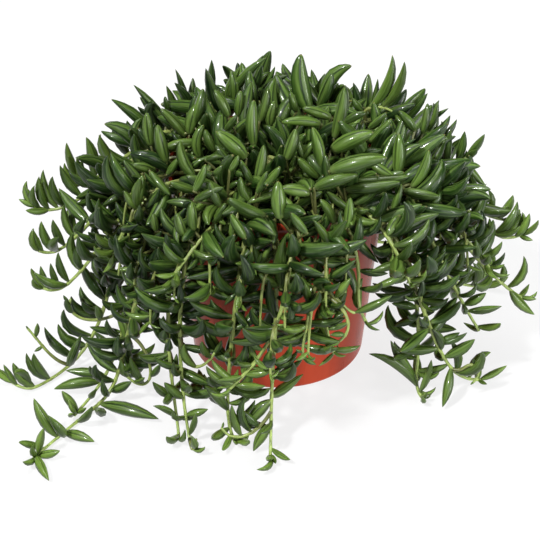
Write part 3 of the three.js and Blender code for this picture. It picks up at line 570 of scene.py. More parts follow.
# Table: a pale sheet with a glow of its own, a hair under the pot, in metres.
FLOOR_HALF = 20
FLOOR_LEVEL = -0.0001
TABLE_CLOUD_SCALE = 3.0
TABLE_SHADES = [(0.0, "#5c5c5c"), (1.0, "#606060")]
TABLE_GLOW = 0.8

# Studio, in metres and watts. A sun has the direction to it, a strength and a width in degrees. The strip
# lamp has a place, a point that it looks at, a size and a power. The world adds a trace of even light.
SUNS = [
    ("overhead_sun", (-0.15, 0.25, 1.0), 2.2, 30),
    ("key_sun", (-0.55, -0.6, 1.0), 4.5, 6),
    ("fill_sun", (0.55, -1.0, 0.45), 1.5, 40),
]
STRIP_PLACE = (0.9, -0.5, 0.35)
STRIP_AIM = (0, 0, 0.08)
STRIP_SIZE = (0.2, 0.7)
STRIP_POWER = 9
WORLD_LIGHT = 0.02

# The camera stands 1.4 m from a point on the pot's axis, in front of it and 32 degrees above the horizontal.
# Its focal length is in pixels of a picture 540 pixels wide, and the sensor is 36 mm wide.
CAMERA_DISTANCE = 1.4
CAMERA_TARGET_HEIGHT = 0.085
CAMERA_ELEVATION = math.radians(31.995)
CAMERA_FOCAL_PIXELS = 2347.5
PICTURE_SIDE = 540
TARGET_PIXEL = (278.0, 222.96)
SENSOR_WIDTH = 36.0


def draw(stem, leaf, what):
    """A share from 0 to 1: what is left after the point of a large multiple of the sine of a sum of three."""
    waves = DRAW_WAVES
    wave = np.sin(stem * waves[0] + leaf * waves[1] + DRAWS[what] * waves[2]) * DRAW_GAIN
    return wave - np.floor(wave)


def mix(pair, share):
    """The value that lies share of the way from the first of a pair to the second."""
    return pair[0] + (pair[1] - pair[0]) * share


def polar(azimuth, distance, height):
    """The point at an azimuth in degrees, a distance from the axis and a height."""
    angle = math.radians(azimuth)
    return np.array([distance * math.cos(angle), distance * math.sin(angle), height])


def unit(vectors):
    """Vectors over their own lengths."""
    return vectors / np.linalg.norm(vectors, axis=-1, keepdims=True)


def wall_radius(height):
    """The outer radius of the pot's wall: a straight cone from the base to the rim."""
    return POT_BASE_RADIUS + (POT_RIM_RADIUS - POT_BASE_RADIUS) * height / POT_HEIGHT


def soil_height(distance):
    """The height of the soil: a low dome whose height falls with the square of the distance."""
    edge = wall_radius(SOIL_TOP) - POT_WALL
    return SOIL_TOP + SOIL_DOME * (1 - (distance / edge) ** 2)


def spline_points(route):
    """A clamped uniform cubic B-spline through a route's points, sampled evenly on every span."""
    knots = np.array([route[0], route[0], *route, route[-1], route[-1]])
    t = np.arange(SPAN_POINTS)[None, :, None] / SPAN_POINTS
    a, b, c, d = (knots[k : len(knots) - 3 + k, None, :] for k in range(4))
    spans = (
        a * (1 - t) ** 3 / 6
        + b * (3 * t**3 - 6 * t**2 + 4) / 6
        + c * (-3 * t**3 + 3 * t**2 + 3 * t + 1) / 6
        + d * t**3 / 6
    )
    return np.concatenate([spans.reshape(-1, 3), [route[-1]]])


class StemLine:
    """A stem's middle line, read by its length from the foot."""

    def __init__(self, points):
        self.points = np.asarray(points, float)
        steps = np.linalg.norm(np.diff(self.points, axis=0), axis=1)
        self.marks = np.concatenate([[0], np.cumsum(steps)])
        self.total = self.marks[-1]

    def at(self, length):
        """Points at lengths from the foot, on straight steps between the line's own points."""
        return np.stack([np.interp(length, self.marks, self.points[:, k]) for k in range(3)], axis=-1)

    def direction(self, length):
        """Unit vectors from one direction step before each length to one past it."""
        ahead = self.at(np.minimum(np.asarray(length) + DIRECTION_STEP, self.total))
        return unit(ahead - self.at(np.maximum(np.asarray(length) - DIRECTION_STEP, 0)))


class Space:
    """The balls that take up space. A row holds x, y, z, radius, stem, leaf (-1 on a stem) and place t."""

    def __init__(self):
        self.rows = np.zeros((SPACE_ROOM, 7))
        self.count = 0

    def add(self, centres, radii, stem, leaf, places):
        """Adds balls: their centres and radii, the stem and leaf they belong to, and places along it."""
        rows = self.rows[self.count : self.count + len(centres)]
        rows[:, :3] = centres
        rows[:, 3] = radii
        rows[:, 4] = stem
        rows[:, 5] = leaf
        rows[:, 6] = places
        self.count += len(centres)

    def near(self, point, reach):
        """The rows whose balls lie within reach of a point."""
        rows = self.rows[: self.count]
        offset = rows[:, :3] - point
        return rows[np.einsum("ij,ij->i", offset, offset) < (reach + rows[:, 3]) ** 2]


space = Space()


def clear_of_pot(centres, radii):
    """True where a ball is clear of the pot's wall, of the soil and of the surface under the pot."""
    x, y, z = np.moveaxis(centres, -1, 0)
    distance = np.hypot(x, y)
    wall = wall_radius(z)
    outside = distance > wall + POT_LIP + radii + CLEARANCE
    inside = distance < wall - POT_WALL - radii - CLEARANCE
    above_soil = z > soil_height(distance) + radii + CLEARANCE
    above_rim = z > POT_HEIGHT + radii + CLEARANCE
    return (z >= radii + FLOOR_GAP) & (above_rim | outside | (inside & above_soil))


def stem_line(root, route):
    """A stem's line: straight up out of its hole, then along its route."""
    rise = root + UP * STEM_RISE
    return StemLine([root - UP * STEM_DEPTH, *spline_points([root + UP, rise, *route])])


def grow_stem(kind, number, root, route_at):
    """A stem on the first of its tries that passes clear of the pot and of the stems before it."""
    for attempt in range(STEM_TRIES):
        side = 1 if attempt % 2 else -1
        turn = side * math.ceil(attempt / 2) * STEM_TURN
        line = stem_line(root, route_at(turn, attempt % STEM_LIFTS * STEM_LIFT))
        centres = line.at(np.arange(STEM_DEPTH, line.total, BALL_STEP))
        rows = space.rows[: space.count]
        gaps = np.linalg.norm(centres[:, None] - rows[None, :, :3], axis=-1) - rows[None, :, 3]
        free = (gaps >= STEM_RADIUS + STEM_GAP).all(axis=1) & clear_of_pot(centres, STEM_RADIUS)
        at_root = (centres[:, 2] > SOIL_TOP) & (np.linalg.norm(centres - root, axis=1) < STEM_FREE)
        if (free | at_root).all():
            space.add(centres, STEM_RADIUS, number, -1, 0)
            return {"kind": kind, "number": number, "line": line, "leaves": [], "twigs": []}
    raise RuntimeError(f"{kind} {number} has no clear route")


def grow_trails():
    """The long stems, from their roots over the rim along their routes."""
    stems = []
    for number, route in enumerate(TRAILS):
        circle = ROOT_CIRCLES[number % 2]
        root = polar(route[0][0], circle, soil_height(circle))

        def route_at(turn, lift, route=route):
            lifts = [lift] + [0] * (len(route) - 1)
            return [polar(a + turn, d, h + up) for (a, d, h), up in zip(route, lifts)]

        stems.append(grow_stem("trail", number, root, route_at))
    return stems


def grow_shoots():
    """The crown's stems: rooted by the golden angle, and leaning out further the further out they root."""
    stems = []
    for i in range(SHOOT_COUNT):
        number = len(TRAILS) + i
        share = math.sqrt((i + 0.5) / SHOOT_COUNT)
        azimuth = math.degrees(i * GOLDEN)
        distance = SHOOT_SPREAD * share
        root = polar(azimuth, distance, soil_height(distance))
        vigour = mix(SHOOT_VIGOUR, draw(number, 0, "vigour"))
        reach = mix(SHOOT_REACH, share) * vigour
        top = (mix(SHOOT_TOP, share) - SHOOT_SLOPE * root[0]) * vigour
        heading = azimuth + SHOOT_SWING * (draw(number, 0, "heading") - 0.5)

        def route_at(turn, lift):
            way = heading + SHOOT_TURN * turn
            middle = root + polar(way, SHOOT_MIDDLE * reach, top + lift)
            return [middle, root + polar(way, reach, top - SHOOT_BOW + lift)]

        stems.append(grow_stem("shoot", number, root, route_at))
    return stems


def leaf_points(leaf, t):
    """Middles at t from root to tip: an arc that leaves along start and bends towards inward by bend."""
    bend = leaf["bend"][:, None, None]
    length = leaf["length"][:, None, None]
    t = np.asarray(t)[None, :, None]
    along = leaf["start"][:, None] * np.sin(bend * t) / bend
    across = leaf["inward"][:, None] * (1 - np.cos(bend * t)) / bend
    return leaf["base"][:, None] + length * (along + across)


def leaf_radii(leaf, t):
    """Half widths at t: a sine raised to a low power, which gives a neck, a full middle and a point."""
    wave = np.sin(np.pi * mix([LEAF_NECK_WIDTH, 1], np.asarray(t)) ** LEAF_SKEW)
    return leaf["radius"][:, None] * wave[None, :] ** leaf["taper"][:, None]


def hang_share(kind, length):
    """How far a stem at this length has passed from the crown's ways of growing to those of hanging stems."""
    if kind in ("shoot", "sprig"):
        return 0.0
    if kind == "twig":
        return 1.0
    return min(1.0, max(0.0, (length - CROWN_ENDS[0]) / (CROWN_ENDS[1] - CROWN_ENDS[0])))


def leaf_tries(stem, order, length, is_tip, tip_size=TIP_SIZE):
    """Every way that the leaf at one place may stand, a row for each try that turns or shortens it."""
    kind, number, line = stem["kind"], stem["number"], stem["line"]
    hang = hang_share(kind, length)
    attempt = np.arange(LEAF_TRIES)
    along = line.direction(length)
    base = line.at(length)
    level = UP if abs(along[2]) < STEEP else base * [1, 1, 0]
    across = unit(np.cross(along, level))
    above = np.cross(across, along)
    turn = np.where(attempt % 2, attempt, -attempt) * LEAF_TURN
    angle = (order * GOLDEN + LEAF_WOBBLE * draw(number, order, "turn") + turn)[:, None]
    rise_range = [mix(ends, hang) for ends in zip(*LEAF_RISE_RANGES)]
    out = across * np.cos(angle) + above * np.sin(angle) * mix(rise_range, draw(number, order, "rise"))
    out = unit(out + (UP - along * along[2]) * mix(LIGHT_LIFT, hang))
    opening = LEAF_OPENING * (attempt % 3 - 1) * (attempt > OPEN_AFTER)
    spread_range = [mix(ends, hang) for ends in zip(*LEAF_SPREAD_RANGES)]
    spread = (TIP_SPREAD if is_tip else mix(spread_range, draw(number, order, "spread"))) + opening
    fall = max(0, -along[2])
    start = unit(
        along * (np.cos(spread) * (1 - HANG_LOSS * fall))[:, None] + out * np.sin(spread)[:, None]
    )
    strays = [draw(number, order, what) for what in ("stray x", "stray y", "stray z")]
    stray = (np.array(strays) - 0.5) * mix(LEAF_STRAY, hang)
    goal = stray + UP * mix(LIGHT_PULL, hang) + along * mix(STEM_PULL, hang) * (1 - fall)
    inward = unit(goal - start * (start @ goal)[:, None])
    share = length / line.total
    shortening = np.where(attempt > SHORT_AFTER, SHORT_SIZE, 1)
    size = mix(LEAF_SIZE_RANGE, draw(number, order, "size")) * (tip_size if is_tip else 1) * shortening
    leaf_length = mix(LEAF_LENGTH, hang) * (1 - LEAF_SHRINK * hang * share**LEAF_SHRINK_POWER) * size
    plumpness = mix(LEAF_PLUMPNESS_RANGE, draw(number, order, "plumpness"))
    bend_range = [mix(ends, hang) for ends in zip(*LEAF_BEND_RANGES)]
    bend = mix(bend_range, draw(number, order, "bend")) + HANG_BEND * fall
    return {
        "base": np.repeat(base[None], LEAF_TRIES, axis=0),
        "start": start,
        "inward": inward,
        "length": leaf_length,
        "radius": leaf_length * mix(LEAF_SLENDERNESS, hang) * plumpness,
        "bend": np.full(LEAF_TRIES, bend),
        "taper": np.full(LEAF_TRIES, mix(LEAF_TAPER, hang)),
    }


def clear_tries(tries, number, gap):
    """Which tries touch nothing: near its root a leaf may touch its own stem and that stem's leaf roots."""
    centres = leaf_points(tries, LEAF_MARKS)
    radii = np.maximum(leaf_radii(tries, LEAF_MARKS), THINNEST)
    reach = tries["length"].max() * TRY_REACH + radii.max() + max(gap, 0)
    rows = space.near(tries["base"][0], reach)
    offset = centres[:, :, None] - rows[None, None, :, :3]
    apart = np.einsum("abij,abij->abi", offset, offset)
    need = np.maximum(radii[:, :, None] + rows[None, None, :, 3] + gap, SMALLEST_REACH)
    mark = LEAF_MARKS[None, :, None]
    by_leaf = (mark < OWN_LEAF_SHARE) | (rows[:, 6] < OWN_LEAF_SHARE)
    own_root = (rows[:, 4] == number) & np.where(rows[:, 5] < 0, mark < OWN_STEM_SHARE, by_leaf)
    touches = (apart < need**2) & ~own_root
    return ~touches.any(axis=(1, 2)) & clear_of_pot(centres, radii).all(axis=1), centres, radii


def bare_wall():
    """Balls on the strip of pot wall that stays bare at the front right, at angles from +X towards -Y: each
    has its centre on the cone and one radius."""
    angle, height = (grid.ravel() for grid in np.meshgrid(np.radians(BARE_ANGLES), BARE_HEIGHTS))
    wall = wall_radius(height)
    radius = np.full(len(angle), BARE_RADIUS)
    return np.stack([wall * np.cos(angle), -wall * np.sin(angle), height, radius], axis=1)


def leaves_sight(centres, radii, with_leaves=True):
    """Which tries leave the bare wall and the posed leaves in sight: none of a try's balls stands
    between one of theirs and the viewer, closer to that line than a share of the two radii."""
    rows = bare_wall()
    if with_leaves:
        leaves = space.rows[: space.count]
        leaves = leaves[(leaves[:, 5] >= POSED_ORDER) & (leaves[:, 5] < TIP_ORDER)]
        rows = np.concatenate([rows, leaves[:, :4]])
    away = rows[:, :3] - centres[0, 0]
    aside = away - (away @ TO_VIEWER)[:, None] * TO_VIEWER
    rows = rows[np.einsum("ij,ij->i", aside, aside) < SIGHT_REACH_SQUARED]
    offset = centres[:, :, None] - rows[None, None, :, :3]
    ahead = offset @ TO_VIEWER
    aside = np.einsum("abij,abij->abi", offset, offset) - ahead**2
    hides = (ahead > 0) & (aside < (SIGHT_SHARE * (radii[:, :, None] + rows[:, 3])) ** 2)
    return ~hides.any(axis=(1, 2))


def grow_leaf(stem, order, length, is_tip, gap, tip_size=TIP_SIZE):
    """Adds the leaf at one place on the first of its tries that is clear, or leaves it out."""
    tries = leaf_tries(stem, order, length, is_tip, tip_size)
    clear, centres, radii = clear_tries(tries, stem["number"], gap)
    if gap < 0:
        clear = clear & leaves_sight(centres, radii)
    if not clear.any():
        return
    best = int(np.argmax(clear))
    space.add(centres[best], radii[best], stem["number"], order, LEAF_MARKS)
    leaf = {name: values[best] for name, values in tries.items()}
    leaf["order"] = order
    leaf["share"] = length / stem["line"].total
    leaf["youth"] = TIP_YOUTH[stem["kind"]] if is_tip else 0.0
    stem["leaves"].append(leaf)


def grow_leaves(stem):
    """The main leaves: a pace apart along the stem, with smaller ones that close its tip."""
    kind, number, total = stem["kind"], stem["number"], stem["line"].total
    places = []
    length = STEM_DEPTH + LEAF_BARE[kind]
    while length < total - TIP_CLEAR:
        places.append((length + LEAF_SHIFT * (draw(number, len(places), "place") - 0.5), False))
        length += mix(LEAF_PACE[kind], length / total)
    places += [(total - back, True) for back in TIP_PLACES]
    for order, (place, is_tip) in enumerate(places):
        grow_leaf(stem, order, place, is_tip, LEAF_GAP)


def open_share(stem):
    """The share of a trail's length where its posed open part begins, or 1 where it has none."""
    if stem["kind"] != "trail" or np.hypot(*stem["line"].points[-1, :2]) < OPEN_REACH:
        return 1
    shares = [leaf["share"] for leaf in stem["leaves"] if leaf["order"] >= POSED_ORDER]
    return min([share for share in shares if share > POSED_PART], default=1)


def grow_extra_leaves(stem):
    """The leaves between the main ones, which may press a little into their neighbours."""
    kind, number, total = stem["kind"], stem["number"], stem["line"].total
    depth = STEM_DEPTH if kind in LEAF_PACE else 0
    length = depth + EXTRA_BARE[kind]
    order = EXTRA_ORDER
    end = open_share(stem) * total
    while length < end - EXTRA_CLEAR:
        shift = EXTRA_SHIFT * (draw(number, order, "extra place") - 0.5)
        grow_leaf(stem, order, length + shift, False, EXTRA_GAP)
        length += mix(EXTRA_PACE[kind], length / total)
        order += 1
    if end < total:
        return
    for k, (back, size) in enumerate(EXTRA_TIPS):
        grow_leaf(stem, TIP_ORDER + k, total - back, True, EXTRA_GAP, size)


def grow_twigs(stem):
    """Side twigs: each leaves the stem at a share of its length, stands out a little and then hangs, on the
    first of its tries that is clear of stems, twigs and pot and leaves the bare wall in sight."""
    kind, number, line = stem["kind"], stem["number"], stem["line"]
    lies_down = line.points[-1, 2] < TWIG_LONG_END or open_share(stem) < 1
    for k, share in enumerate(TWIG_SHARES[kind]):
        if lies_down and share > TWIG_LAST_SHARE:
            break
        length = line.total * (share + TWIG_SHIFT * (draw(number, k, "twig place") - 0.5))
        base, along = line.at(length), line.direction(length)
        drop = mix(TWIG_DROP[kind], draw(number, k, "twig drop"))
        reach = mix(TWIG_OUT[kind], draw(number, k, "twig reach"))
        twig_number = TWIG_NUMBER + number * 10 + k
        first_side = 1 if draw(number, k, "twig side") > 0.5 else -1
        for attempt in range(TWIG_TRIES):
            side = first_side if attempt % 2 else -first_side
            widening = TWIG_LEAST_SWING + attempt / TWIG_SWING_TRIES
            swing = side * math.radians(TWIG_SWING[kind]) * widening
            ahead = base if kind == "trail" else along
            heading = math.atan2(ahead[1], ahead[0]) + swing
            out = np.array([math.cos(heading), math.sin(heading), 0.0])
            start = [base, base + along * TWIG_START, base + out * reach + UP * TWIG_LIFT]
            knees = [base + out * (reach + past) - UP * drop * fallen for past, fallen in TWIG_KNEES]
            twig_line = StemLine(spline_points(start + knees))
            centres = twig_line.at(np.arange(TWIG_FIRST_BALL, twig_line.total, BALL_STEP))
            rows = space.rows[: space.count]
            rows = rows[rows[:, 5] < 0]
            gaps = np.linalg.norm(centres[:, None] - rows[None, :, :3], axis=-1) - rows[None, :, 3]
            own = (rows[None, :, 4] == number) & (np.arange(len(centres))[:, None] < TWIG_OWN_BALLS)
            free = ((gaps >= TWIG_RADIUS + TWIG_GAP) | own).all(axis=1) & clear_of_pot(centres, TWIG_RADIUS)
            radii = np.full((1, len(centres)), TWIG_RADIUS)
            if free.all() and leaves_sight(centres[None], radii, with_leaves=False).all():
                space.add(centres, TWIG_RADIUS, twig_number, -1, 0)
                twig = {"kind": TWIG_KINDS[kind], "number": twig_number, "line": twig_line, "leaves": []}
                stem["twigs"].append(twig)
                break


def grow_arms(stems):
    """The posed arms and the crown leaves' spurs, each as one more side stem of the stem it leaves."""
    spurs = [(number, share, [root]) for number, share, root, *_ in CROWN_LEAVES]
    for k, (number, share, points) in enumerate(ARMS + spurs):
        stem = stems[number - 1]
        base = stem["line"].at(share * stem["line"].total)
        line = StemLine(spline_points([base, *np.array(points, float)]))
        kind = "arm" if k < len(ARMS) else "spur"
        arm = {"kind": kind, "number": ARM_NUMBER + k, "line": line, "leaves": []}
        centres = line.at(np.arange(TWIG_FIRST_BALL, line.total, BALL_STEP))
        space.add(centres, TWIG_RADIUS, arm["number"], -1, 0)
        stem["twigs"].append(arm)


def pose_leaves(stems):
    """The posed leaves. With a the unit vector from root to tip, n square to it on the bend's side, h
    half the bend and c the distance, the arc starts along a cos h - n sin h and is c h / sin h long."""
    carriers = {stem["number"]: stem for stem in stems}
    carriers.update({arm["number"]: arm for stem in stems for arm in stem["twigs"]})
    first = ARM_NUMBER + len(ARMS) + 1
    on_spurs = [(first + k, SPUR_END, *row[3:]) for k, row in enumerate(CROWN_LEAVES)]
    for k, (number, share, tip, bend, side, half_width) in enumerate(POSED_LEAVES + on_spurs):
        stem = carriers[number - 1]
        base = stem["line"].at(share * stem["line"].total)
        apart = np.array(tip, float) - base
        ahead = unit(apart)
        lean = np.array([math.cos(math.radians(side)), 0, math.sin(math.radians(side))])
        normal = unit(lean - ahead * (lean @ ahead))
        half = bend / 2
        kind = stem["kind"]
        leaf = {
            "base": base,
            "start": ahead * math.cos(half) - normal * math.sin(half),
            "inward": ahead * math.sin(half) + normal * math.cos(half),
            "length": np.linalg.norm(apart) * half / math.sin(half),
            "radius": half_width * (CROWN_FULLNESS if kind == "spur" else 1),
            "bend": bend,
            "taper": CROWN_TAPER if kind == "spur" else LEAF_TAPER[1],
            "order": POSED_ORDER + k,
            "share": share,
            "youth": POSED_YOUTH.get(kind, 0) * draw(number, k, "youth"),
        }
        arc = {name: np.array([value]) for name, value in leaf.items()}
        centres, radii = leaf_points(arc, LEAF_MARKS)[0], leaf_radii(arc, LEAF_MARKS)[0]
        space.add(centres, radii, number - 1, leaf["order"], LEAF_MARKS)
        stem["leaves"].append(leaf)


def rings_faces(rings, sides, first_pole, last_pole):
    """Faces of a closed tube of rings by sides vertices with a pole at each end, as corner indices."""
    i, j = np.meshgrid(np.arange(rings - 1), np.arange(sides), indexing="ij")
    k = (j + 1) % sides
    quads = np.stack([i * sides + j, i * sides + k, (i + 1) * sides + k, (i + 1) * sides + j], axis=-1)
    j = np.arange(sides)
    k = (j + 1) % sides
    last = (rings - 1) * sides
    first_fan = np.stack([np.full(sides, first_pole), k, j], axis=-1)
    last_fan = np.stack([np.full(sides, last_pole), last + j, last + k], axis=-1)
    return quads.reshape(-1, 4), np.concatenate([first_fan, last_fan])


class Surface:
    """Vertices, faces, corner UVs, point attributes and material numbers, gathered for one mesh."""

    def __init__(self):
        self.points, self.youth, self.tone = [], [], []
        self.corners, self.uvs, self.sizes, self.materials = [], [], [], []
        self.count = 0

    def add_tubes(self, points, poles, u, v, youth, tone, material):
        """Adds closed tubes: points (tubes, rings, sides, 3), poles (tubes, 2, 3), u (sides + 1) round the
        section and v (tubes, rings + 2) along it. Youth and tone are per tube and ring."""
        tubes, rings, sides = points.shape[:3]
        per_tube = rings * sides + 2
        quads, fans = rings_faces(rings, sides, rings * sides, rings * sides + 1)
        starts = self.count + np.arange(tubes)[:, None, None] * per_tube
        self.points.append(np.concatenate([points.reshape(tubes, -1, 3), poles], axis=1).reshape(-1, 3))
        for store, values in ((self.youth, youth), (self.tone, tone)):
            rows = np.concatenate([np.repeat(values[:, 1:-1], sides, axis=1), values[:, [0, -1]]], axis=1)
            store.append(rows.reshape(-1))
        across = np.arange(sides)
        corners_u = np.stack([u[across], u[across + 1], u[across + 1], u[across]], axis=-1)
        quad_u = np.tile(corners_u, (rings - 1, 1))
        low = v[:, 1:-2].repeat(sides, axis=1)
        high = v[:, 2:-1].repeat(sides, axis=1)
        quad_v = np.stack([low, low, high, high], axis=-1)
        quad_uv = np.stack([np.broadcast_to(quad_u, quad_v.shape), quad_v], axis=-1)
        middle = (u[across] + u[across + 1]) / 2
        first_u = np.stack([middle, u[across + 1], u[across]], axis=-1)
        last_u = np.stack([middle, u[across], u[across + 1]], axis=-1)
        fan_u = np.concatenate([first_u, last_u])
        fan_v = np.empty((tubes, 2 * sides, 3))
        fan_v[:, :sides] = v[:, [0, 1, 1]][:, None]
        fan_v[:, sides:] = v[:, [-1, -2, -2]][:, None]
        fan_uv = np.stack([np.broadcast_to(fan_u, fan_v.shape), fan_v], axis=-1)
        for faces, uv in ((quads, quad_uv), (fans, fan_uv)):
            self.corners.append((faces[None] + starts).reshape(-1))
            self.uvs.append(uv.reshape(-1, 2))
            self.sizes.append(np.full(tubes * len(faces), faces.shape[1]))
            self.materials.append(np.full(tubes * len(faces), material))
        self.count += tubes * per_tube

    def add_plain(self, points, poles):
        """Adds closed tubes of the first material, without youth or tone, with even UVs round and along."""
        tubes, rings, sides = points.shape[:3]
        u = np.arange(sides + 1) / sides
        v = np.tile(np.linspace(0, 1, rings + 2), (tubes, 1))
        self.add_tubes(points, np.array(poles, float), u, v, v * 0, v * 0, 0)

    def make(self, name, materials):
        """The Blender object of what was gathered, smooth shaded, in metres."""
        points = np.concatenate(self.points) * MM
        corners = np.concatenate(self.corners).astype(np.int32)
        sizes = np.concatenate(self.sizes).astype(np.int32)
        mesh = bpy.data.meshes.new(name)
        mesh.vertices.add(len(points))
        mesh.vertices.foreach_set("co", points.astype(np.float32).ravel())
        mesh.loops.add(len(corners))
        mesh.loops.foreach_set("vertex_index", corners)
        mesh.polygons.add(len(sizes))
        mesh.polygons.foreach_set("loop_start", (np.cumsum(sizes) - sizes).astype(np.int32))
        for material in materials:
            mesh.materials.append(material)
        mesh.polygons.foreach_set("material_index", np.concatenate(self.materials).astype(np.int32))
        mesh.update(calc_edges=True)
        mesh.polygons.foreach_set("use_smooth", np.ones(len(sizes), bool))
        uv_map = mesh.uv_layers.new(name="surface")
        uv_map.uv.foreach_set("vector", np.concatenate(self.uvs).astype(np.float32).ravel())
        for label, values in (("youth", self.youth), ("tone", self.tone)):
            attribute = mesh.attributes.new(label, "FLOAT", "POINT")
            attribute.data.foreach_set("value", np.concatenate(values).astype(np.float32))
        mesh.validate()
        piece = bpy.data.objects.new(name, mesh)
        bpy.context.scene.collection.objects.link(piece)
        return piece


def leaf_rings(leaves):
    """Rings of all leaves at once. A station's middle is on the leaf's arc, and a corner at angle a from
    the groove lies sin(a) sideways and cos(a) times the flatness inward, times the half width. The groove
    corner is sunk, and a small sideways sway grows with the square of the station."""
    middle = leaf_points(leaves, LEAF_STATIONS)
    turn = leaves["bend"][:, None] * LEAF_STATIONS
    start, inward = leaves["start"][:, None], leaves["inward"][:, None]
    inner = inward * np.cos(turn)[..., None] - start * np.sin(turn)[..., None]
    side = np.cross(leaves["start"], leaves["inward"])[:, None]
    turn = leaves["groove"][:, None, None]
    sway = leaves["sway"][:, None] * leaves["length"][:, None] * LEAF_STATIONS**2
    middle = middle + side * sway[..., None]
    radii = leaf_radii(leaves, LEAF_STATIONS) * LEAF_FULLNESS
    inwards = np.cos(LEAF_CORNERS) * LEAF_FLATNESS - GROOVE_DEPTH * (LEAF_CORNERS == 0)
    sideways = np.sin(LEAF_CORNERS)
    to_groove = inner * np.cos(turn) + side * np.sin(turn)
    past_groove = side * np.cos(turn) - inner * np.sin(turn)
    offset = past_groove[:, :, None] * sideways[:, None] + to_groove[:, :, None] * inwards[:, None]
    rings = middle[:, :, None] + offset * radii[..., None, None]
    ends = leaf_points(leaves, [0.0, 1.0])
    ends[:, 1] += side[:, 0] * (leaves["sway"] * leaves["length"])[:, None]
    return rings, ends


def groove_turns(leaves, number):
    """How far the groove lies round each leaf from the inside of its bend: to where the light comes from
    above as seen from the leaf's middle, plus a small turn that is drawn."""
    half = leaves["bend"][:, None] / 2
    inner = leaves["inward"] * np.cos(half) - leaves["start"] * np.sin(half)
    side = np.cross(leaves["start"], leaves["inward"])
    light = np.arctan2(side[:, 2], inner[:, 2])
    return GROOVE_PULL * light + GROOVE_STRAY * (draw(number, leaves["order"], "groove") - 0.5)


def add_leaves(surface, stem, material):
    """Adds a stem's leaves to its surface."""
    if not stem["leaves"]:
        return
    names = ("base", "start", "inward", "length", "radius", "bend", "taper", "order", "share", "youth")
    leaves = {name: np.array([leaf[name] for leaf in stem["leaves"]]) for name in names}
    leaves["sway"] = LEAF_SWAY * (draw(stem["number"], leaves["order"], "sway") - 0.5)
    leaves["groove"] = groove_turns(leaves, stem["number"])
    rings, ends = leaf_rings(leaves)
    u = np.append(LEAF_CORNERS, 2 * np.pi) / (2 * np.pi)
    stations = np.concatenate([[0], LEAF_STATIONS, [1]])
    v = np.tile(stations, (len(rings), 1))
    rise = np.clip((leaves["share"] - YOUNG_FROM) / YOUNG_SPAN, 0, 1)
    youth = np.maximum(leaves["youth"], rise**2 * YOUNG_TIP.get(stem["kind"], YOUNG_TIP_ELSEWHERE))
    tone = draw(stem["number"], leaves["order"], "tone")
    youth, tone = (np.tile(values[:, None], v.shape[1]) for values in (youth, tone))
    surface.add_tubes(rings, ends, u, v, youth, tone, material)


def parallel_frames(tangents):
    """Two unit vectors square to each tangent, turned as little as possible from one ring to the next."""
    side = unit(np.cross(tangents[0], STEM_FRAME_START))
    sides = [side]
    for tangent in tangents[1:]:
        side = unit(side - tangent * (side @ tangent))
        sides.append(side)
    sides = np.array(sides)
    return sides, np.cross(tangents, sides)


def add_stem(surface, stem, material):
    """Adds a stem as a tapered tube on its line, a little thicker where each leaf joins it."""
    line, kind = stem["line"], stem["kind"]
    count = max(STEM_LEAST_RINGS, int(line.total / STEM_RING_STEP))
    marks = np.linspace(0, line.total, count)
    share = marks / line.total
    tangents = line.direction(marks)
    side, other = parallel_frames(tangents)
    radius = mix(STEM_THICKNESS[kind], share)
    joints = np.array([leaf["share"] for leaf in stem["leaves"]]) * line.total
    if len(joints):
        nearest = np.abs(marks[:, None] - joints[None]).min(axis=1)
        radius = radius * (1 + JOINT_SWELLING * np.exp(-((nearest / JOINT_LENGTH) ** 2)))
    angle = np.arange(STEM_SIDES) * 2 * np.pi / STEM_SIDES
    ring = side[:, None] * np.cos(angle)[None, :, None] + other[:, None] * np.sin(angle)[None, :, None]
    points = line.at(marks)[:, None] + ring * radius[:, None, None]
    foot, tip = line.at(0) - tangents[0] * STEM_FOOT_CAP, line.at(line.total) + tangents[-1] * radius[-1]
    u = np.arange(STEM_SIDES + 1) / STEM_SIDES
    along = np.concatenate([[0], marks, [line.total]])[None]
    youth = np.concatenate([[0], share, [1]])[None] * STEM_YOUTH[kind]
    tone = np.full((1, count + 2), draw(stem["number"], 0, "bark tone"))
    surface.add_tubes(points[None], np.array([[foot, tip]]), u, along, youth, tone, material)


def linear(hex_colour):
    """An sRGB hex colour as linear red, green, blue and alpha."""
    values = np.array([int(hex_colour[i : i + 2], 16) for i in (1, 3, 5)]) / 255
    rgb = np.where(values <= 0.04045, values / 12.92, ((values + 0.055) / 1.055) ** 2.4)
    return (*rgb, 1.0)


def add_node(tree, kind, settings=(), inputs=(), output=0):
    """Adds a node with its settings and its inputs as values or other nodes' outputs. Gives back the node's
    output of a name or number."""
    node = tree.nodes.new(kind)
    for name, value in dict(settings).items():
        setattr(node, name, value)
    for name, value in dict(inputs).items():
        if isinstance(value, bpy.types.NodeSocket):
            tree.links.new(value, node.inputs[name])
        else:
            node.inputs[name].default_value = value
    return node.outputs[output] if len(node.outputs) else node


def noise(tree, vector, scale, **others):
    """A noise texture's value, with its other inputs by name."""
    return add_node(tree, "ShaderNodeTexNoise", inputs={"Vector": vector, "Scale": scale, **others})


def streaks(tree, vector, stretch, detail):
    """Noise stretched along some axes, by a scale for each."""
    stretched = add_node(tree, "ShaderNodeMapping", inputs={"Vector": vector, "Scale": stretch})
    return noise(tree, stretched, 1.0, Detail=detail)


def reckon(tree, operation, a, b):
    """One operation on two values."""
    return add_node(tree, "ShaderNodeMath", {"operation": operation}, {0: a, 1: b})


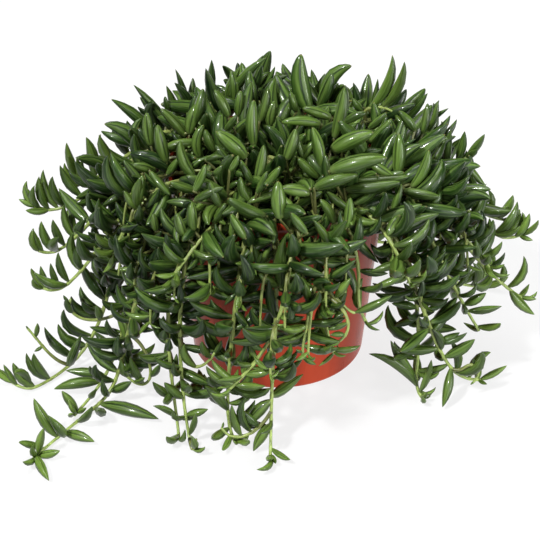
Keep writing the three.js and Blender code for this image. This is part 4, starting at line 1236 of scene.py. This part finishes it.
def remap(tree, value, ends, interpolation="LINEAR"):
    """A value taken from one range to another: the ends of the first and then of the second."""
    names = ("From Min", "From Max", "To Min", "To Max")
    inputs = {"Value": value, **dict(zip(names, ends))}
    return add_node(tree, "ShaderNodeMapRange", {"interpolation_type": interpolation}, inputs)


def ramp(tree, value, stops):
    """A value's colour between stops of a position and a hex colour."""
    colour = add_node(tree, "ShaderNodeValToRGB", inputs={"Fac": value})
    elements = colour.node.color_ramp.elements
    for index, (position, hex_colour) in enumerate(stops):
        element = elements[index] if index < 2 else elements.new(position)
        element.position = position
        element.color = linear(hex_colour)
    return colour


def bump(tree, height, strength, depth):
    """A normal tilted by the slope of a height pattern of a depth."""
    inputs = {"Height": height, "Strength": strength, "Distance": depth}
    return add_node(tree, "ShaderNodeBump", inputs=inputs)


def point_value(tree, name):
    """A point attribute's value."""
    return add_node(tree, "ShaderNodeAttribute", {"attribute_name": name}, output="Fac")


def new_material(name, linked, plain):
    """A node material of one Principled shader. Its plain inputs are values, and its linked ones are worked
    out from the tree by a function of the tree."""
    material = bpy.data.materials.new(name)
    material.use_nodes = True
    tree = material.node_tree
    tree.nodes.clear()
    shader = add_node(tree, "ShaderNodeBsdfPrincipled", inputs={**linked(tree), **plain})
    add_node(tree, "ShaderNodeOutputMaterial", inputs={"Surface": shader})
    return material


def leaf_pattern(tree):
    """The leaf's colour, roughness and relief. u runs round the section from the groove and v from root to
    tip. Lines are noise stretched along the leaf. Each mask is a smooth step of one value, given with the
    least and most of the value and of the mask, and each layer covers the ones before it by its mask. One
    mask is painted shade: it darkens the flanks and underside that turn from the groove, which faces the
    light."""
    uv = add_node(tree, "ShaderNodeUVMap", {"uv_map": "surface"})
    split = add_node(tree, "ShaderNodeSeparateXYZ", inputs={"Vector": uv}).node.outputs
    u, v = split["X"], split["Y"]
    youth, tone = point_value(tree, "youth"), point_value(tree, "tone")
    from_groove = reckon(tree, "PINGPONG", u, 0.5)
    own = add_node(tree, "ShaderNodeCombineXYZ", inputs={"X": u, "Y": v, "Z": tone})
    lines = streaks(tree, own, LEAF_LINE_SCALE, 3.0)
    coords = add_node(tree, "ShaderNodeTexCoord", output="Object")
    patches = noise(tree, coords, 1 / LEAF_PATCH_SIZE)
    steps = {
        "patch": (patches, 0.35, 0.75, 0.0, 0.4),
        "pale_line": (lines, 0.45, 0.7, 0.0, 0.35),
        "dark_line": (lines, 0.27, 0.48, 0.45, 0.0),
        "stripe_start": (from_groove, 0.008, 0.04, 0.0, 1.0),
        "stripe_end": (from_groove, 0.06, 0.19, 1.0, 0.0),
        "stripe_break": (lines, 0.3, 0.65, 0.2, 0.55),
        "groove": (from_groove, 0.004, 0.02, 0.7, 0.0),
        # Painted shade: darkens the flanks and underside that turn from the groove, and so from the light.
        "painted_shade_flank": (from_groove, 0.13, 0.32, 0.0, 0.6),
        "groove_root": (v, 0.05, 0.2, 0.0, 1.0),
        "neck": (v, 0.04, 0.16, 0.6, 0.0),
        "point": (v, 0.965, 1.0, 0.0, 0.8),
        "some": (tone, 0.3, 0.8, 0.0, 1.0),
    }
    masks = {}
    for name, (value, *ends) in steps.items():
        masks[name] = remap(tree, value, ends, "SMOOTHSTEP")
    products = [
        ("stripe", "stripe_start", "stripe_end"),
        ("stripe", "stripe", "stripe_break"),
        ("groove", "groove", "groove_root"),
        ("dry", "point", "some"),
    ]
    for name, a, b in products:
        masks[name] = reckon(tree, "MULTIPLY", masks[a], masks[b])
    colour = linear(LEAF_DARK)
    layers = [
        (tone, LEAF_LIGHT),
        (youth, LEAF_YOUNG),
        (masks["patch"], LEAF_PATCH),
        # Painted shade on the flanks turned from the light.
        (masks["painted_shade_flank"], LEAF_DARK),
        (masks["pale_line"], LEAF_PALE_LINE),
        (masks["dark_line"], LEAF_DARK_LINE),
        (masks["stripe"], LEAF_STRIPE),
        (masks["groove"], LEAF_DARK_LINE),
        (masks["neck"], LEAF_NECK),
        (masks["dry"], LEAF_DRY),
    ]
    for mask, hex_colour in layers:
        inputs = {0: mask, 6: colour, 7: linear(hex_colour)}
        colour = add_node(tree, "ShaderNodeMix", {"data_type": "RGBA"}, inputs, output=2)
    sunk = reckon(tree, "MULTIPLY", masks["groove"], 0.25)
    return {
        "Base Color": colour,
        "Roughness": remap(tree, lines, (0.3, 0.7, 0.36, 0.5)),
        "Normal": bump(tree, reckon(tree, "SUBTRACT", lines, sunk), 0.3, LEAF_LINE_DEPTH),
    }


def leaf_skin():
    """Succulent leaf: waxy green skin over clear flesh. The eye gets crisp streaks of light on the wax, fine
    lines along the leaf, a dark groove between two pale stripes, a paler neck and now and then a dry point.
    Young leaves are a lighter yellow-green. The flanks that turn from the groove, and so from the light, are
    darkened as painted shade."""
    plain = {
        "IOR": 1.45,
        "Specular IOR Level": 0.22,
        "Coat Weight": 0.25,
        "Coat Roughness": 0.1,
        "Subsurface Weight": 0.05,
        "Subsurface Radius": (0.3, 1.0, 0.15),
        "Subsurface Scale": 1.2 * MM,
    }
    return new_material("succulent_leaf_skin", leaf_pattern, plain)


def bark_pattern(tree):
    """The stem's colour by its age along the stem, darkened by lines stretched along it."""
    uv = add_node(tree, "ShaderNodeUVMap", {"uv_map": "surface"})
    lines = streaks(tree, uv, BARK_LINE_SCALE, 4.0)
    age = ramp(tree, point_value(tree, "youth"), BARK_AGES)
    mixing = {"data_type": "RGBA", "blend_type": "MULTIPLY"}
    inputs = {0: 1.0, 6: age, 7: ramp(tree, lines, BARK_SHADES)}
    colour = add_node(tree, "ShaderNodeMix", mixing, inputs, output=2)
    return {"Base Color": colour, "Normal": bump(tree, lines, 0.4, BARK_LINE_DEPTH)}


def stem_bark():
    """Green stem skin: pale yellow-green and smooth at the tip, olive and a little woody at the foot."""
    return new_material("green_stem_bark", bark_pattern, {"Roughness": 0.45})


def plastic_pattern(tree):
    """Faint upright flow streaks in colour and gloss, and a fine grain in relief."""
    coords = add_node(tree, "ShaderNodeTexCoord", output="Object")
    flow = streaks(tree, coords, PLASTIC_STREAK_SCALE, 3.0)
    return {
        "Base Color": ramp(tree, flow, PLASTIC_SHADES),
        "Roughness": remap(tree, flow, (0.3, 0.7, 0.22, 0.32)),
        "Normal": bump(tree, noise(tree, coords, 1 / PLASTIC_GRAIN), 0.12, 0.2 * MM),
    }


def moulded_plastic():
    """Injection-moulded polypropylene, coloured right through. The eye gets an even terracotta red with a
    satin sheen that whitens towards the pot's outline."""
    return new_material("moulded_polypropylene", plastic_pattern, {"IOR": 1.49, "Specular IOR Level": 0.1})


def soil_pattern(tree):
    """Crumbs and fibres as noise in three browns, with cells for relief."""
    coords = add_node(tree, "ShaderNodeTexCoord", output="Object")
    crumbs = noise(tree, coords, SOIL_CRUMB_SCALE, Detail=5.0)
    cells = add_node(tree, "ShaderNodeTexVoronoi", inputs={"Vector": coords, "Scale": SOIL_CELL_SCALE})
    relief = bump(tree, reckon(tree, "ADD", crumbs, cells), 0.8, 1 * MM)
    return {"Base Color": ramp(tree, crumbs, SOIL_BROWNS), "Normal": relief}


def potting_mix():
    """Peat and bark potting mix: dark, dull and crumbly, with paler fibres."""
    return new_material("peat_potting_mix", soil_pattern, {"Roughness": 0.95})


def acrylic_pattern(tree):
    """A faint cloudiness, so that the table's white isn't dead even."""
    coords = add_node(tree, "ShaderNodeTexCoord", output="Object")
    return {"Base Color": ramp(tree, noise(tree, coords, TABLE_CLOUD_SCALE), TABLE_SHADES)}


def table_acrylic():
    """Milky acrylic sheet of a photographer's table, lit from below: shadows on it stay pale."""
    plain = {"Roughness": 0.9, "Emission Color": (1, 1, 1, 1), "Emission Strength": TABLE_GLOW}
    return new_material("milky_acrylic_sheet", acrylic_pattern, plain)


def place(piece, nodes, slot):
    """A piece rides on the part's one body and stands for its CAD nodes. Its slot is not used."""
    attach(piece, "root")
    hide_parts(*nodes)


def arc(centre, radius, start, end, count):
    """Profile points on a circle from one angle to another, in degrees."""
    angle = np.radians(np.linspace(start, end, count))
    return np.stack([centre[0] + radius * np.cos(angle), centre[1] + radius * np.sin(angle)], axis=-1)


def turned(profile, sides):
    """Rings of a profile of (radius, height) turned about Z."""
    angle = np.arange(sides) * 2 * np.pi / sides
    radius, height = profile[:, 0, None], profile[:, 1, None]
    heights = np.broadcast_to(height, (len(profile), sides))
    return np.stack([radius * np.cos(angle), radius * np.sin(angle), heights], axis=-1)


def drain_drills():
    """Six upright drills in one mesh, on a circle round the axis, each a closed tube of two rings."""
    azimuths = (np.arange(DRAIN_COUNT) + 0.5) * 360 / DRAIN_COUNT
    feet = np.array([polar(azimuth, DRAIN_CIRCLE, 0) for azimuth in azimuths])
    ends = feet[:, None] + np.array([[0, 0, -DRAIN_DRILL], [0, 0, POT_FLOOR + DRAIN_DRILL]])
    profile = np.array([[DRAIN_RADIUS, -DRAIN_DRILL], [DRAIN_RADIUS, POT_FLOOR + DRAIN_DRILL]])
    rings = feet[:, None, None] + turned(profile, DRAIN_SIDES)
    surface = Surface()
    u = np.arange(DRAIN_SIDES + 1) / DRAIN_SIDES
    v = np.tile([0, 0, 1, 1], (DRAIN_COUNT, 1)).astype(float)
    surface.add_tubes(rings, ends, u, v, v * 0, v * 0, 0)
    return surface.make("drain_drills", [])


def cut(piece, drill):
    """Takes a drill's shape out of a piece by an applied Boolean, keeps the new edges crisp and removes the
    drill."""
    difference = piece.modifiers.new("holes", "BOOLEAN")
    difference.operation = "DIFFERENCE"
    difference.solver = "EXACT"
    difference.object = drill
    bpy.context.view_layer.update()
    cut_mesh = bpy.data.meshes.new_from_object(piece.evaluated_get(bpy.context.evaluated_depsgraph_get()))
    piece.modifiers.clear()
    cut_mesh.set_sharp_from_angle(angle=DRAIN_EDGE)
    piece.data = cut_mesh
    bpy.data.objects.remove(drill)


def make_pot(material):
    """The pot: its profile, with rounded foot, lip and rim, turned about Z, and its drain holes cut."""
    round_, lip_foot = POT_EDGE_ROUND, POT_HEIGHT - POT_LIP_HEIGHT
    half_wall = (POT_WALL + POT_LIP) / 2
    lip_radius = wall_radius(lip_foot)
    inner_foot = POT_FLOOR + POT_INNER_ROUND
    inner_radius = wall_radius(inner_foot) - POT_WALL - POT_INNER_ROUND
    walls = np.linspace(round_, lip_foot, POT_WALL_RINGS[0])
    inner_walls = np.linspace(POT_HEIGHT - half_wall, inner_foot, POT_WALL_RINGS[1])
    profile = np.concatenate(
        [
            [(POT_BASE_RADIUS - round_ - POT_FLAT_MARGIN, 0)],
            arc((wall_radius(round_) - round_, round_), round_, *FOOT_ARC),
            np.stack([wall_radius(walls), walls], axis=-1),
            [(lip_radius + POT_LIP * POT_LIP_SLOPE[0], lip_foot + POT_LIP * POT_LIP_SLOPE[1])],
            [(lip_radius + POT_LIP, lip_foot + POT_LIP)],
            arc((POT_RIM_RADIUS + POT_LIP - half_wall, POT_HEIGHT - half_wall), half_wall, *RIM_ARC),
            np.stack([wall_radius(inner_walls) - POT_WALL, inner_walls], axis=-1)[1:],
            arc((inner_radius, inner_foot), POT_INNER_ROUND, *FLOOR_ARC),
            [(POT_FLOOR_RING, POT_FLOOR)],
        ]
    )
    surface = Surface()
    surface.add_plain(turned(profile, POT_SIDES)[None], [[[0, 0, 0], [0, 0, POT_FLOOR]]])
    pot = surface.make("pot_moulded", [material])
    cut(pot, drain_drills())
    return pot


def make_soil(material):
    """The soil: a disc of rings whose height is the dome plus noise, with a side and a flat underside."""
    edge = wall_radius(SOIL_TOP) - POT_WALL - CLEARANCE
    share = np.linspace(SOIL_CENTRE, 1, SOIL_RINGS)
    angle = np.arange(SOIL_SIDES) * 2 * np.pi / SOIL_SIDES
    radius = edge * share[:, None] * np.ones_like(angle)
    x, y = radius * np.cos(angle), radius * np.sin(angle)
    bumps = np.zeros_like(x)
    for k, (size, height) in enumerate(SOIL_BUMPS):
        for turn in range(SOIL_WAVES):
            heading = turn * SOIL_WAVE_TURN + k
            way = x * math.cos(heading) + y * math.sin(heading)
            length = size * (1 + SOIL_WAVE_GROWTH * turn)
            bumps += height / (SOIL_WAVES / 2) * np.sin(2 * np.pi * way / length + turn)
    heights = soil_height(radius) + bumps * (1 - share[:, None] ** SOIL_EDGE_POWER)
    top = np.stack([x, y, heights], axis=-1)
    foot = POT_FLOOR + CLEARANCE
    levels = np.linspace(SOIL_TOP - 1, foot, SOIL_SIDE_RINGS)
    side = turned(np.stack([wall_radius(levels) - POT_WALL - CLEARANCE, levels], axis=-1), SOIL_SIDES)
    rings = np.concatenate([top, side])[::-1]
    surface = Surface()
    surface.add_plain(rings[None], [[[0, 0, foot], [0, 0, SOIL_TOP + SOIL_DOME]]])
    add_crumbs(surface)
    return surface.make("soil_mix", [material])


def add_crumbs(surface):
    """Crumbs of bark sunk half into the soil, placed by the golden angle: each is a squashed ball of rings
    whose corners are pushed in and out by a draw."""
    number = np.arange(CRUMB_COUNT)
    distance = CRUMB_SPREAD * np.sqrt((number + 0.5) / CRUMB_COUNT)
    azimuth = number * GOLDEN + CRUMB_WOBBLE * draw(number, 1, "crumb")
    size = mix(CRUMB_SIZE, draw(number, 2, "crumb") ** 2)
    x, y = distance * np.cos(azimuth), distance * np.sin(azimuth)
    middle = np.stack([x, y, soil_height(distance)], axis=-1)
    latitude = np.radians(CRUMB_LATITUDES)
    ball = turned(np.stack([np.cos(latitude), np.sin(latitude)], axis=-1), CRUMB_SIDES)
    ring, corner = np.meshgrid(np.arange(len(latitude)), np.arange(CRUMB_SIDES), indexing="ij")
    drawn = draw(number[:, None, None], ring * CRUMB_SIDES + corner, "crumb corner")
    rough = mix(CRUMB_ROUGHNESS, drawn)
    squash = [mix(ends, draw(number, 3 + k, "crumb")) for k, ends in enumerate(CRUMB_SQUASH)]
    scale = (size[:, None] * np.stack(squash, axis=-1))[:, None, None]
    points = middle[:, None, None] + ball[None] * rough[..., None] * scale
    surface.add_plain(points, middle[:, None] + np.array([-UP, UP]) * scale[:, 0])


def make_stem(stem, materials):
    """One leafy stem as one piece: its tube and its leaves."""
    surface = Surface()
    for part in [stem, *stem["twigs"]]:
        add_stem(surface, part, 1)
        add_leaves(surface, part, 0)
    kind = stem["kind"]
    label = stem["number"] + 1 if kind == "trail" else stem["number"] - len(TRAILS) + 1
    node = f"{kind}_{label:02d}"
    return surface.make(f"leafy_{node}", materials), node


def make_plant():
    """All stems with their main leaves, then what is posed one by one, and last the twigs and extra leaves.
    """
    trails = grow_trails()
    shoots = grow_shoots()
    stems = trails + shoots
    for stem in shoots + trails:
        grow_leaves(stem)
    grow_arms(stems)
    pose_leaves(stems)
    for stem in stems:
        grow_twigs(stem)
    twigs = [twig for stem in stems for twig in stem["twigs"]]
    for stem in stems + [twig for twig in twigs if twig["kind"] in EXTRA_PACE]:
        grow_extra_leaves(stem)
    materials = [leaf_skin(), stem_bark()]
    for stem in stems:
        piece, node = make_stem(stem, materials)
        place(piece, [node], "foliage")


def make_stage():
    """A white glowing floor, a wide sun overhead, a sharper one on the upper left, a soft one low in front,
    and a strip lamp that shines on the pot's right side."""
    floor = bpy.data.meshes.new("floor")
    corners = [(x * FLOOR_HALF, y * FLOOR_HALF, FLOOR_LEVEL) for x, y in [(-1, -1), (1, -1), (1, 1), (-1, 1)]]
    floor.from_pydata(corners, [], [(0, 1, 2, 3)])
    floor_object = bpy.data.objects.new("floor", floor)
    bpy.context.scene.collection.objects.link(floor_object)
    floor.materials.append(table_acrylic())

    world = bpy.data.worlds.new("studio")
    bpy.context.scene.world = world
    world.use_nodes = True
    background = world.node_tree.nodes["Background"].inputs
    background["Color"].default_value = (1, 1, 1, 1)
    background["Strength"].default_value = WORLD_LIGHT

    for name, towards_light, strength, width in SUNS:
        sun = bpy.data.lights.new(name, "SUN")
        sun.energy = strength
        sun.angle = math.radians(width)
        stand(name, sun, towards_light, (0, 0, 0))
    strip = bpy.data.lights.new("right_strip", "AREA")
    strip.shape = "RECTANGLE"
    strip.size, strip.size_y = STRIP_SIZE
    strip.energy = STRIP_POWER
    stand("right_strip", strip, STRIP_PLACE, STRIP_AIM)


def stand(name, lamp_or_camera, at, towards):
    """Puts a lamp or camera at a place with its -Z turned to a point, and gives back its object."""
    holder = bpy.data.objects.new(name, lamp_or_camera)
    holder.location = at
    look = Vector(towards) - holder.location
    holder.rotation_mode = "QUATERNION"
    holder.rotation_quaternion = look.to_track_quat("-Z", "Y")
    bpy.context.scene.collection.objects.link(holder)
    return holder


def make_camera():
    """The camera, turned until the target lies on its pixel of the picture."""
    e = CAMERA_ELEVATION
    forward = np.array([0, math.cos(e), -math.sin(e)])
    up = np.array([0, math.sin(e), math.cos(e)])
    right = np.array([1.0, 0, 0])
    middle = PICTURE_SIDE / 2
    shift_right = (middle - TARGET_PIXEL[0]) / CAMERA_FOCAL_PIXELS
    shift_down = (middle - TARGET_PIXEL[1]) / CAMERA_FOCAL_PIXELS
    look = forward + right * shift_right - up * shift_down
    location = np.array([0, 0, CAMERA_TARGET_HEIGHT]) - forward * CAMERA_DISTANCE
    camera = bpy.data.cameras.new("camera")
    camera.sensor_width = SENSOR_WIDTH
    camera.lens = CAMERA_FOCAL_PIXELS * SENSOR_WIDTH / PICTURE_SIDE
    bpy.context.scene.camera = stand("camera", camera, location, location + look)


make_stage()
make_camera()
place(make_pot(moulded_plastic()), ["pot"], "pot")
place(make_soil(potting_mix()), ["soil"], "soil")
make_plant()
bpy.context.scene.view_settings.view_transform = "Standard"
